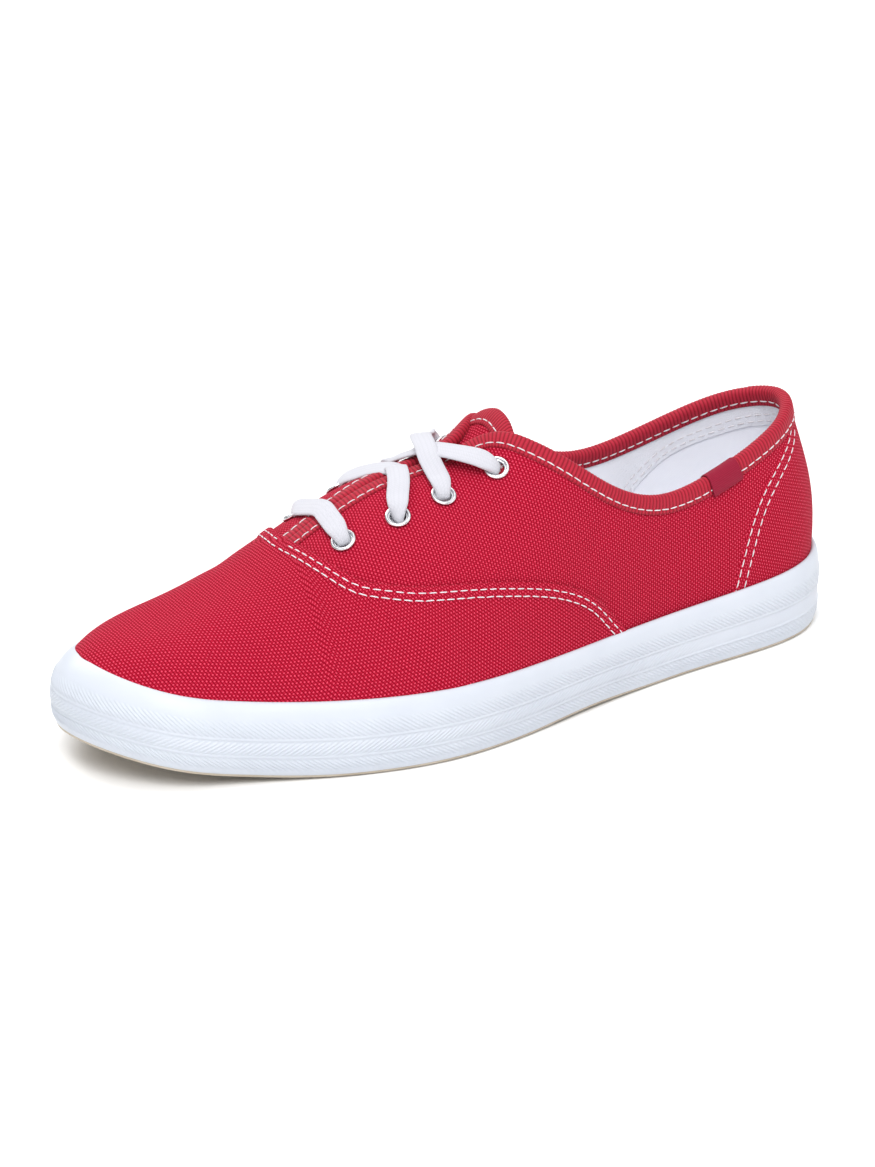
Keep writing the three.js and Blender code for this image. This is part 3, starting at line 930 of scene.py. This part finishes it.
def make_sheet(name, place, grid, upright, flip=False, prepare=None):
    """A sheet of canvas on the last, with the grain it was cut to."""
    mesh = warped_grid(*grid, place)
    if flip:
        bmesh.ops.reverse_faces(mesh, faces=mesh.faces)
    close_seams(mesh)
    if prepare:
        prepare(mesh)
    piece = add_piece(name, mesh, canvas_cloth)
    lay_grain(piece, cut_pattern(place, *PATTERN_GRID, upright))
    return piece


def make_quarter(name, inner):
    """One side of the upper, from under the heel panel to under the vamp."""
    def place(along, up):
        rear = np.interp(up, panel_shares, panel_reach) - PANEL_LAP
        hoop = lerp(QUARTER_FRONT, rear, along)
        hoop = FULL_TURN - hoop if inner else hoop
        angle = quarter_angle(hoop, up)
        points = wall(hoop, angle)
        return points + wall_normal(hoop, angle) * creased(points)[:, None]

    piece = make_sheet(name, place, QUARTER_GRID, (0, 0, 1), inner, punch_eyelets)
    give_wall(piece, CANVAS_WALL)


def gap_to(points, line):
    """Distance from each point to the nearest point of a line."""
    tree = KDTree(len(line))
    for i, corner in enumerate(line):
        tree.insert(corner, i)
    tree.balance()
    return np.array([tree.find(point)[2] for point in points])


def make_vamp():
    """The front of the upper, lapped over both quarters, with a folded edge."""
    low = vamp_seam[0][0]
    rim = np.concatenate([wall(*vamp_seam), wall(*mirrored(vamp_seam))])

    def place(along, up):
        hoop = lerp(FULL_TURN - low, low, along)
        angle = vamp_angle(hoop, up)
        points = wall(hoop, angle)
        inward = gap_to(points, rim)
        hem = HEM_LIFT * (1 - ease(HEM_WIDTH - 0.8, HEM_WIDTH + 0.6, inward))
        rounded = -HEM_ROUNDING * (1 - ease(0, 0.7, inward))
        lift = VAMP_LIFT + hem + rounded + creased(points)
        return points + wall_normal(hoop, angle) * lift[:, None]

    piece = make_sheet("vamp", place, VAMP_GRID, (0, 1, 0))
    give_wall(piece, CANVAS_WALL + VAMP_LIFT - 0.1)


def make_heel_panel():
    def place(along, up):
        side = lerp(1.0, -1.0, along)
        reach = np.interp(up, panel_shares, panel_reach)
        hoop = (side * reach) % FULL_TURN
        inward = (1 - np.abs(side)) * reach * HOOP_LENGTH
        lift = HEEL_LIFT * ease(0, 0.8, inward)
        return on_wall(hoop, quarter_angle(hoop, up), lift)

    piece = make_sheet("heel_panel", place, HEEL_GRID, (0, 0, 1))
    give_wall(piece, CANVAS_WALL + HEEL_LIFT)


def make_lining(cloth):
    """White twill inside the canvas, with its upper part lapped over the heel part."""
    def whole(along, up):
        hoop = lerp(FULL_TURN, 0.0, along)
        return on_wall(hoop, quarter_angle(hoop, up), -CANVAS_WALL - SEAM_MARGIN)

    def upper_part(along, up):
        hoop = lerp(LAP_REACH, -LAP_REACH, along) % FULL_TURN
        angle = lerp(lining_edge(hoop), top_angle(hoop), up)
        return on_wall(hoop, angle, -CANVAS_WALL - LINING_WALL)

    for name, place, columns, length, thickness, replaced in (
        ("lining", whole, LINING_COLUMNS, 0.6, LINING_WALL, ["upper"]),
        ("lining_upper_part", upper_part, LAP_COLUMNS, 0.3, LINING_LAP, []),
    ):
        mesh = warped_grid(columns, LINING_ROWS_UP, place)
        lay_flat(mesh, lambda point, share: (share.x * length, share.y * LINING_HEIGHT))
        close_seams(mesh)
        punch_eyelets(mesh)
        give_wall(add_piece(name, mesh, cloth, replaced), thickness)


# ---------- Binding tape ----------

BOUND_WALL = 2.15  # canvas and linings together
BINDING_RIBS = 336
TOP_EDGE_STEPS = 3000
BINDING_FRONT = 57.5  # station where its two ends meet
RIB_PROFILE = np.array([0, 0.7, 1, 0.7])  # of one rib


def top_edge_line(count):
    """The collar and throat edge, from the inner side's front round the heel to the outer's."""
    front = hoop_at(BINDING_FRONT)
    hoops = np.linspace(-front, front, TOP_EDGE_STEPS)
    return spaced(hoops, top_angle(hoops), count)


def cloth_lift(hoop, angle):
    """How far the outermost canvas stands over the quarters."""
    return HEEL_LIFT * (1 - ease(-0.12, 0.02, to_outer(hoop) - heel_reach(angle)))


def tape_section(thick):
    """Rows round a tape folded over a cloth of this thickness, on one side and then the other."""
    front = [[below, lift, out, over] for below, lift, out, over in TAPE_FACE]
    back = [[below, -thick - lift, -out, over] for below, lift, out, over in TAPE_FACE[::-1]]
    under = [[below, -thick + depth, 0, 0] for below, depth in TAPE_BACK]
    under += [[below, -depth, 0, 0] for below, depth in TAPE_BACK[::-1]]
    return front + [[-1.0, -thick / 2, 0, 1]] + back + under + front[:1]


def fold_tape(name, strip, thick, ribs, tape):
    """A ribbed tape folded over an edge: strip(below) is a line on the cloth with its directions."""
    crest = RIB_PROFILE[np.arange(4 * ribs + 1) % 4] * TAPE_RIB
    rows = []
    for below, lift, out, over in tape_section(thick):
        points, normals, inward, raised = strip(below)
        rise = lift + out * crest + (raised if lift > 0 else 0)
        rows.append(points + normals * rise[:, None] - inward * (over * crest)[:, None])
    width = lengths_along(np.array(rows)[:, 0])[-1]
    add_piece(name, ribbon_from_rows(rows, ribs * RIB_PITCH, width), tape)


def make_binding(tape):
    line = top_edge_line(4 * BINDING_RIBS + 1)

    def strip(below):
        hoops, angles = beside(*line, below)
        points = wall(hoops, angles)
        normals = wall_normal(hoops, angles)
        inward = unit(np.cross(normals, np.gradient(points, axis=0)))
        return points, normals, inward, cloth_lift(hoops, angles)

    fold_tape("binding", strip, BOUND_WALL, BINDING_RIBS, tape)


# ---------- Thread ----------

STITCH_DIP = 0.3
THREAD_LIFT = 0.62
BACK_THREAD_LIFT = 0.66
VAMP_ROWS = (2.0, 4.1)  # from the folded edge
HEEL_ROWS = (1.2, 4.2)
LINING_ROWS = (1.7, 3.9)
EDGE_STITCHES = 900
SEWN_FROM = math.radians(4)  # the seams' stitches start this far up the wall
LINING_SEWN_FROM = math.radians(8)
HEEL_SEWN_TO = math.radians(41)
HEEL_THREAD_LIFT = HEEL_LIFT + 0.08


def one_stitch():
    """A short thread along X that dips at its ends, facing +Z."""
    mesh = bmesh.new()
    bmesh.ops.create_uvsphere(mesh, u_segments=6, v_segments=8, radius=1)
    for corner in mesh.verts:
        fatness = max(math.hypot(corner.co.x, corner.co.y), 1e-6) ** -0.5
        far = corner.co.z
        corner.co = Vector((
            far * STITCH_LENGTH / 2,
            corner.co.x * fatness * THREAD_RADIUS,
            corner.co.y * fatness * THREAD_RADIUS * 0.85 - STITCH_DIP * far ** 4,
        )) * MM
    return finished("one_stitch", mesh)


def sew(mesh, stitch, points, normals):
    """Lays a row of stitches along a line."""
    walked = lengths_along(points)
    for i in range(int(walked[-1] / STITCH_PITCH)):
        middle = (i + 0.5) * STITCH_PITCH
        ends = [np.array([np.interp(at, walked, column) for column in points.T])
                for at in (middle - STITCH_LENGTH / 2, middle + STITCH_LENGTH / 2)]
        normal = np.array([np.interp(middle, walked, column) for column in normals.T])
        heading = Vector(ends[1] - ends[0]).normalized()
        side = Vector(normal).cross(heading).normalized()
        heading = (heading + side * dice.uniform(-0.06, 0.06)).normalized()
        outward = heading.cross(side).normalized()
        turn = Matrix((heading, side, outward)).transposed().to_4x4()
        turn.translation = Vector(in_frame((ends[0] + ends[1]) / 2))
        placed = stitch.copy()
        placed.transform(turn)
        mesh.from_mesh(placed)
        bpy.data.meshes.remove(placed)


def seam_line(line, below, lift):
    """Points and normals of a row of stitches beside a line on the wall."""
    hoops, angles = beside(*line, below)
    lifts = lift + cloth_lift(hoops, angles)
    return on_wall(hoops, angles, lifts), wall_normal(hoops, angles)


def over_hem(*at):
    return VAMP_LIFT + HEM_LIFT + SEAM_MARGIN + creased(wall(*at))


def make_stitches(thread):
    mesh = bmesh.new()
    stitch = one_stitch()
    edge = top_edge_line(EDGE_STITCHES)
    sew(mesh, stitch, *seam_line(edge, TAPE_STITCHES, THREAD_LIFT))
    inside = beside(*edge, TAPE_STITCHES - 0.4)
    sew(mesh, stitch, on_wall(*inside, -BOUND_WALL - BACK_THREAD_LIFT), -wall_normal(*inside))
    for line, rows, lift_of, highest in (
        (vamp_seam, VAMP_ROWS, over_hem, RIGHT_ANGLE),
        (heel_seam, [-row for row in HEEL_ROWS], lambda *at: HEEL_THREAD_LIFT, HEEL_SEWN_TO),
    ):
        shown = (line[1] > SEWN_FROM) & (line[1] <= highest)
        line = line[0][shown], line[1][shown]
        for below in rows:
            for at in (beside(*line, below), beside(*mirrored(line), -below)):
                sew(mesh, stitch, on_wall(*at, lift_of(*at)), wall_normal(*at))
    depth = -CANVAS_WALL - LINING_WALL - LINING_LAP - SEAM_MARGIN
    for row in LINING_ROWS:
        for hoops, angles in (beside(*lining_seam, -row), beside(*mirrored(lining_seam), row)):
            shown = angles > LINING_SEWN_FROM
            at = hoops[shown], angles[shown]
            sew(mesh, stitch, on_wall(*at, depth), -wall_normal(*at))
    for line in tongue_stitches():
        sew(mesh, stitch, *line)
    bpy.data.meshes.remove(stitch)
    turn_out(mesh)
    add_piece("stitches", mesh, thread)


# ---------- Tongue ----------

TONGUE_FRONT = 57
TONGUE_SHOULDER = -5
TONGUE_HEAD = 8.2  # from the shoulders to the rounded end
TONGUE_RISE = 2.0  # at its end
TONGUE_WALL = 1.5
TONGUE_WIDTHS = (44, 30)  # at the shoulders and at the front
TONGUE_BOUND = 22  # station where the binding on its sides ends
TONGUE_RIBS = 96
TONGUE_GRID = (80, 60)
TONGUE_PATTERN = (40, 30)


def tongue_across(x, share):
    """Distance from the ridge line at a share of the half width, from -1 to 1."""
    forward = np.clip((x - TONGUE_SHOULDER) / (TONGUE_FRONT - TONGUE_SHOULDER), 0, 1)
    return share * lerp(*TONGUE_WIDTHS, forward) / 2


def tongue_end(share):
    return TONGUE_SHOULDER - TONGUE_HEAD * np.maximum(1 - np.abs(share) ** 2.5, 0) ** 0.4


def tongue_face(x, across):
    """The tongue's outer face, which lifts a little towards its end."""
    rise = TONGUE_RISE * (1 - ease(TONGUE_SHOULDER - TONGUE_HEAD, THROAT_TOP + 12, x))
    return instep(x, across, rise - TONGUE_DEPTH)


def tongue_strip(line):
    """Lines on the tongue at a distance inside its outline."""
    heading = unit(softened(np.gradient(line, axis=0)))
    aside = np.stack([heading[:, 1], -heading[:, 0]], axis=1)

    def strip(below):
        x, across = (line + aside * below).T
        points = tongue_face(x, across)
        ahead = tongue_face(*(line + aside * (below + 0.2)).T)
        return points, instep_normal(x, across), unit(ahead - points), np.zeros(len(x))

    return strip


def tongue_outline(count):
    """Stations and distances across, up one side, round the end and down the other."""
    turn = np.linspace(-math.pi / 2, math.pi / 2, LINE_STEPS)
    share = np.sign(np.sin(turn)) * np.abs(np.sin(turn)) ** 0.8
    end = np.stack([tongue_end(share), tongue_across(tongue_end(share), share)], axis=1)
    sides = np.linspace(TONGUE_BOUND, TONGUE_SHOULDER, 40)[:-1]
    start = np.stack([sides, tongue_across(sides, -1.0)], axis=1)
    finish = np.stack([sides, tongue_across(sides, 1.0)], axis=1)[::-1]
    return evenly(np.concatenate([start, end, finish]), count)


def tongue_stitches():
    """The rows of stitches on both faces of the tongue's binding."""
    strip = tongue_strip(tongue_outline(LINE_STEPS))
    points, normals, _, _ = strip(TAPE_STITCHES)
    return [
        (points + normals * THREAD_LIFT, normals),
        (points - normals * (TONGUE_WALL + BACK_THREAD_LIFT), -normals),
    ]


def make_tongue(tape):
    def place(along, up):
        share = 2 * up - 1
        x = lerp(tongue_end(share), TONGUE_FRONT, along)
        return tongue_face(x, tongue_across(x, share))

    mesh = warped_grid(*TONGUE_GRID, place)
    turn_out(mesh)
    piece = add_piece("tongue_cloth", mesh, canvas_cloth, ["tongue"])
    lay_grain(piece, cut_pattern(place, *TONGUE_PATTERN, (0, 1, 0)))
    give_wall(piece, TONGUE_WALL)
    strip = tongue_strip(tongue_outline(4 * TONGUE_RIBS + 1))
    fold_tape("tongue_binding", strip, TONGUE_WALL, TONGUE_RIBS, tape)


# ---------- Eyelets ----------

EYELET_ROLL_SIZE = 0.47
EYELET_ROLL = EYELET_FLANGE - EYELET_ROLL_SIZE
EYELET_CLINCH = EYELET_BARREL + 0.6
EYELET_STEPS = 40
# Below the rolled rim: out from the hole, and height.
EYELET_SECTION = [
    [0.42, 0.3], [0.2, 0.42], [0.04, 0.25], [0, -0.5], [0, -UPPER_WALL],
    [EYELET_CLINCH - EYELET_HOLE, -UPPER_WALL - 0.35], [EYELET_CLINCH - EYELET_HOLE, -UPPER_WALL],
    [0.3, -UPPER_WALL + 0.3], [0.3, 0.0],
]


def make_eyelets(metal):
    """Rolled rings: a round flange outside, a barrel through the cloth and a clinched foot."""
    section = [
        (EYELET_ROLL + EYELET_ROLL_SIZE * math.cos(turn), EYELET_RISE / 2 + EYELET_ROLL_SIZE * math.sin(turn))
        for turn in np.linspace(-0.9, math.pi + 0.5, 9)
    ]
    section += [(EYELET_HOLE + out, height) for out, height in EYELET_SECTION]
    for x, across, pair, name in EYELET_PLACES:
        mesh = bmesh.new()
        corners = [mesh.verts.new((radius * MM, 0, height * MM)) for radius, height in section]
        edges = [mesh.edges.new(ends) for ends in zip(corners, corners[1:] + corners[:1])]
        bmesh.ops.spin(
            mesh, geom=corners + edges, cent=(0, 0, 0), axis=(0, 0, 1), angle=2 * math.pi,
            steps=EYELET_STEPS, use_merge=True)
        close_seams(mesh)
        turn_out(mesh)
        turn = Vector(instep_normal(x, across)).to_track_quat("Z", "Y").to_matrix().to_4x4()
        turn.translation = Vector(in_frame(eyelet_centres[pair, name]))
        bmesh.ops.transform(mesh, matrix=turn, verts=mesh.verts)
        node = f"{name}_{pair + 1}"
        add_piece(f"ring_{node}", mesh, metal, [f"eyelet_{node}"])


# ---------- Laces ----------

# The lace goes down through an eyelet: distance from the hole's middle, and height.
PASSAGE = [[6.5, 1.5], [3.9, 1.7], [2.0, 1.2], [0.9, 0.1], [0.2, -1.1], [0.0, -2.3]]
UNDER = -2.6  # height of the lace's middle where it runs inside the eyestay
FAR_TILT = 7  # over the inner side the lace faces the way it does at this distance across
LACE_STEPS = 900
LACE_FINE_STEPS = 4000
LACE_SIDES = 16
BUNCHED_SIZE = (4.2, 2.9)  # width and thickness of the lace in an eyelet
BUNCHED_REACH = 3.4
PRESSED_THICKNESS = 0.8


def passage(pair, side, toward, slack=0.0):
    """Points from above an eyelet, on the side where the lace comes from, to under it."""
    x, inset = EYELETS[pair]
    centre = np.array([x, side * inset], float)
    lean = unit(np.array(toward, float) - centre)
    return [[*(centre + lean * aside), lift + slack * aside / PASSAGE[0][0]] for aside, lift in PASSAGE]


def half_lace(side, low_cross, high_cross):
    """Station, distance across and height, from the bar to the lace's end.

    Side is where the bar's end goes in, and the heights are those of the two crossings."""
    (x1, _), (x2, _) = EYELETS[:2]
    return [
        [x1, 4 * side, 1.7],
        *passage(0, side, (x1, 0)),
        [x1 - 5, 15.8 * side, UNDER],
        [x2 + 5, 17.4 * side, UNDER],
        *passage(1, side, (24, 9 * side))[::-1],
        [23, 8 * side, low_cross + 0.7],
        [20.2, 0.6 * side, low_cross],
        [18.8, -2.6 * side, low_cross - 2.2],
        [17.2, -6.2 * side, -2.5],
        [15, -12 * side, UNDER],
        *passage(2, -side, (11.6, -9 * side))[::-1],
        [11.6, -5.5 * side, high_cross - 1.1],
        [10.2, -1.5 * side, high_cross + 0.2],
        [6, 5.5 * side, high_cross + 0.8],
        *passage(3, side, (3, 9 * side), 2.0),
    ]


def lace_route():
    over = half_lace(1, 1.6, 2.9)
    under = half_lace(-1, 0.4, 4.5)
    return np.array(under[::-1] + [[EYELETS[0][0], 0, 1.8]] + over, float)


def lace_line():
    """Evenly spaced points of the lace's middle, with their heights and the way up there."""
    route = lace_route()
    corners = instep(*route.T)
    pace = np.concatenate([[0], np.cumsum(np.sqrt(np.linalg.norm(np.diff(corners, axis=0), axis=1)))])
    fine = np.linspace(0, pace[-1], LACE_FINE_STEPS)
    line = np.stack([smooth_curve(pace, column)(fine) for column in corners.T], axis=1)
    places = np.stack([np.interp(fine, pace, column) for column in route.T], axis=1)
    sampled = evenly(np.hstack([line, places]), LACE_STEPS + 1, along=line)
    stations, acrosses, lifts = sampled[:, 3:].T
    return sampled[:, :3], lifts, instep_normal(stations, np.maximum(acrosses, FAR_TILT))


def lace_sides(heading, upward):
    """The way across the lace at each point: it lies flat where it can, and turns slowly."""
    across = np.zeros_like(heading)
    side = unit(np.cross(heading[0], (1.0, 0.0, 0.0)))
    for i, ahead in enumerate(heading):
        side = unit(side - ahead * side.dot(ahead))
        level = np.cross(ahead, upward[i])
        lying = min(1.0, np.linalg.norm(level)) ** 3
        level = unit(level) * (1 if side.dot(level) > 0 else -1)
        side = unit(lerp(side, level, 0.35 * lying))
        side = unit(side - ahead * side.dot(ahead))
        across[i] = side
    return across


def make_laces(cotton):
    line, lifts, upward = lace_line()
    heading = unit(np.gradient(line, axis=0))
    across = lace_sides(heading, upward)
    thick = unit(np.cross(heading, across))
    centres = np.array(list(eyelet_centres.values()))
    gaps = np.linalg.norm(line[:, None] - centres[None], axis=2).min(1)
    bunched = np.exp(-((gaps / BUNCHED_REACH) ** 2))
    width = lerp(LACE_WIDTH, BUNCHED_SIZE[0], bunched)
    pressed = 1 - ease(-2.2, -0.8, lifts)
    thickness = lerp(lerp(LACE_THICKNESS, BUNCHED_SIZE[1], bunched), PRESSED_THICKNESS, pressed)
    rows = []
    for turn in np.linspace(0, 2 * math.pi, LACE_SIDES + 1):
        aside, rise = [math.copysign(abs(wave) ** 0.7, wave) / 2 for wave in (math.cos(turn), math.sin(turn))]
        rows.append(line + across * (aside * width)[:, None] + thick * (rise * thickness)[:, None])
    mesh = ribbon_from_rows(rows, lengths_along(line)[-1], 2 * (LACE_WIDTH + LACE_THICKNESS))
    replaced = ["lace_bar", "lace_cross_lower", "lace_cross_upper"]
    add_piece("lace", mesh, cotton, replaced)


# ---------- Sole ----------

FOXING_RIB_PROFILE = np.array([0, 0.55, 1, 0.55])  # of one rib
MIDDLE_BAND = (0.3, 0.5)  # shares of the height
# The lip round the tread layer: distance out from the upper, and height.
OUTSOLE_LIP = [
    [-6, 0], [1.2, 0], [1.75, 0.2], [1.9, 0.6], [1.9, 2.3], [-2, 2.4], [-6, 2.4], [-6, 0],
]
OUTSOLE_COLUMNS = 480
OUTLINE_STEPS = 6000
TREAD_PITCH = 4.2
TREAD_DEPTH = 0.7
TREAD_WALL = 1.6
TREAD_INSET = 4.5
TREAD_ZIGZAG = 9
TREAD_GRID = (360, 90)
HEEL_DISH = 0.8
HEEL_DISH_SPAN = (-100, -40)  # stations between which it fades out
INSOLE_PAD = INSOLE_THICKNESS - 0.9
INSOLE_GRID = (160, 40)


def outline_out(hoop):
    """Outward direction of the sole's outline, seen from above."""
    ahead = np.stack([edge_x(hoop + HOOP_STEP), edge_y(hoop + HOOP_STEP)], -1)
    behind = np.stack([edge_x(hoop - HOOP_STEP), edge_y(hoop - HOOP_STEP)], -1)
    run = unit(ahead - behind)
    return np.stack([-run[:, 1], run[:, 0], np.zeros(len(run))], axis=1)


def edge_points(hoop):
    return np.stack([edge_x(hoop), edge_y(hoop), np.zeros(len(hoop))], axis=1)


outline_hoops = np.linspace(0, FULL_TURN, OUTLINE_STEPS + 1)
outline_walked = lengths_along(edge_points(outline_hoops) + outline_out(outline_hoops) * FOXING_WALL)
all_round = outline_walked[-1]
to_the_toe = outline_walked[len(outline_walked) // 2]


def hoop_along(distance):
    """The hoop at a distance round the sole's edge."""
    return np.interp(distance % all_round, outline_walked, outline_hoops)


def across_sole(along, across, inset):
    """Points at shares from heel to toe and from the inner edge to the outer."""
    hoop = hoop_along(along * to_the_toe)
    rims = [edge_points(turn) - outline_out(turn) * inset for turn in (FULL_TURN - hoop, hoop)]
    return lerp(*rims, across[:, None])


def wall_at_height(hoop, height):
    """The wall's plan position at a height, straight down below the feather edge."""
    angle = angle_where(hoop, lambda points: height - points[..., 2])
    points = np.where((height > feather_height(edge_x(hoop)))[:, None], wall(hoop, angle), edge_points(hoop))
    points[:, 2] = height
    return points


def make_foxing(rubber):
    """The rubber band round the sole, with three belts of leaning ribs between two beads."""
    columns = 4 * round(all_round / FOXING_RIB_PITCH)
    base = np.arange(columns + 1) / columns * all_round
    crest = FOXING_RIB * FOXING_RIB_PROFILE[np.arange(columns + 1) % 4]
    rows = []
    for share, out, lean, ribbed in FOXING_FACE:
        hoop = hoop_along(base - lean)
        edge = edge_x(hoop)
        aside = outline_out(hoop)
        fading = ease(*SMOOTH_HEEL_BAND, edge) if MIDDLE_BAND[0] < share < MIDDLE_BAND[1] else 1
        reach = out + crest * ribbed * fading
        low = ground(edge + aside[:, 0] * reach) + FOXING_FOOT
        height = lerp(low, foxing_top(edge), share)
        rows.append(wall_at_height(hoop, height) + aside * reach[:, None])
    add_piece("foxing_band", ring_from_rows(rows), rubber, ["foxing"])


def make_outsole(rubber):
    """The tread layer: a plain lip round the edge and zigzag ribs underneath."""
    hoop = hoop_along(np.arange(OUTSOLE_COLUMNS + 1) / OUTSOLE_COLUMNS * all_round)
    rows = []
    for out, rise in OUTSOLE_LIP:
        points = edge_points(hoop) + outline_out(hoop) * out
        points[:, 2] = ground(points[:, 0]) + rise
        rows.append(points)
    mesh = ring_from_rows(rows)

    def place(along, across):
        points = across_sole(along, across, TREAD_INSET)
        zigzag = np.abs((points[:, 1] / TREAD_ZIGZAG) % 2 - 1) * TREAD_ZIGZAG
        wave = np.cos((points[:, 0] + zigzag) / TREAD_PITCH * 2 * math.pi)
        edge = ease(0, 0.06, np.minimum(across, 1 - across)) * ease(0, 0.02, np.minimum(along, 1 - along))
        groove = TREAD_DEPTH * (1 - ease(-0.5, 0.3, wave)) * edge
        points[:, 2] = ground(points[:, 0]) + groove
        return points

    tread = warped_grid(*TREAD_GRID, place)
    face_upright(tread, -1)
    bmesh.ops.solidify(tread, geom=tread.faces[:], thickness=TREAD_WALL * MM)
    sheet = finished("tread", tread)
    mesh.from_mesh(sheet)
    bpy.data.meshes.remove(sheet)
    add_piece("tread_layer", mesh, rubber, ["outsole"])


def make_insole(cloth):
    """The padded insole, a little dished at the heel."""
    def place(along, across):
        points = across_sole(along, across, UPPER_WALL + CLEARANCE)
        dish = HEEL_DISH * (1 - ease(*HEEL_DISH_SPAN, points[:, 0])) * np.sin(math.pi * across)
        points[:, 2] = feather_height(points[:, 0]) + INSOLE_THICKNESS - dish
        return points

    mesh = warped_grid(*INSOLE_GRID, place)
    close_seams(mesh)
    face_upright(mesh, 1)
    lay_flat(mesh, lambda point, share: point.xy)
    give_wall(add_piece("insole_pad", mesh, cloth, ["insole"]), INSOLE_PAD)


# ---------- Tab ----------

TAB_HOOPS = (2.42, 2.78)
TAB_STEPS = 60
TAB_SIZE = (13, 24)  # unfolded
# Round the folded label: distance below the collar's edge, and height over the canvas.
TAB_SECTION = [
    [5.5, 0.4], [5.55, 0.9], [5.2, 1.15], [3.7, 1.2], [2, 1.35], [0.4, 1.25], [-0.7, 0.85], [-1.35, 0.1],
    [-1.6, -0.9], [-1.4, -1.9], [-0.8, -2.8], [0.3, -3.35], [2.5, -3.5], [3.3, -3.2], [2.5, -3.05],
    [0.4, -3.0], [-0.9, -2.4], [-1.35, -0.9], [-0.8, 0.4], [0.3, 0.95], [2.5, 0.9], [4.6, 0.65], [5.5, 0.4],
]


def make_tab(satin):
    """A bare folded label over the collar's edge on the outer side."""
    hoops = np.linspace(*TAB_HOOPS, TAB_STEPS + 1)
    rows = [on_wall(*beside(hoops, top_angle(hoops), below), lift) for below, lift in TAB_SECTION]
    add_piece("side_tab", ribbon_from_rows(rows, *TAB_SIZE), satin)


# ---------- Studio ----------

FLOOR_SIZE = 4
FLOOR_DROP = 0.0002
AMBIENT = 0.42
# Place and size in metres, and power in watts.
LIGHTS = {
    "key": ((1.0, 1.8, 2.6), 2.0, 84),
    "top": ((0, 0, 3.2), 3.0, 32),
    "fill": ((-1.8, 1.4, 1.4), 2.0, 15),
    "back": ((0.2, -2.2, 2.0), 2.0, 44),
    "low": ((2.7, 0.9, 0.6), 1.6, 8),
}


def make_studio():
    floor_mesh = bmesh.new()
    bmesh.ops.create_grid(floor_mesh, x_segments=2, y_segments=2, size=FLOOR_SIZE)
    data = finished("floor", floor_mesh)
    finish = Finish("pale_floor", Roughness=0.6)
    finish.colour(finish.ramp(finish.noise(3.0), (0.0, (0.93, 0.93, 0.93)), (1.0, (0.95, 0.95, 0.95))))
    data.materials.append(finish.material)
    floor = place_in_scene("floor", data)
    floor.location.z = -FLOOR_DROP

    world = bpy.data.worlds.new("studio")
    world.use_nodes = True
    world.node_tree.nodes["Background"].inputs["Color"].default_value = (1, 1, 1, 1)
    world.node_tree.nodes["Background"].inputs["Strength"].default_value = AMBIENT
    bpy.context.scene.world = world
    for name, (place, size, power) in LIGHTS.items():
        lamp = bpy.data.lights.new(name, "AREA")
        lamp.size = size
        lamp.energy = power
        light = place_in_scene(name, lamp)
        light.location = place
        light.rotation_euler = (-Vector(place)).to_track_quat("-Z", "Y").to_euler()
    bpy.context.scene.view_settings.view_transform = "Standard"


# ---------- The shoe ----------

dice = random.Random(7)

make_camera()
make_laces(make_lace_cotton())
canvas_cloth = make_canvas()
tape_cloth = make_tape_cloth()
lining_cloth = make_lining_cloth()
make_quarter("quarter_outer", False)
make_quarter("quarter_inner", True)
make_vamp()
make_heel_panel()
make_tongue(tape_cloth)
make_lining(lining_cloth)
make_insole(lining_cloth)
make_binding(tape_cloth)
make_stitches(make_thread())
make_tab(make_label_satin())
make_eyelets(make_eyelet_metal())
make_foxing(make_white_rubber())
make_outsole(make_gum_rubber())
make_studio()
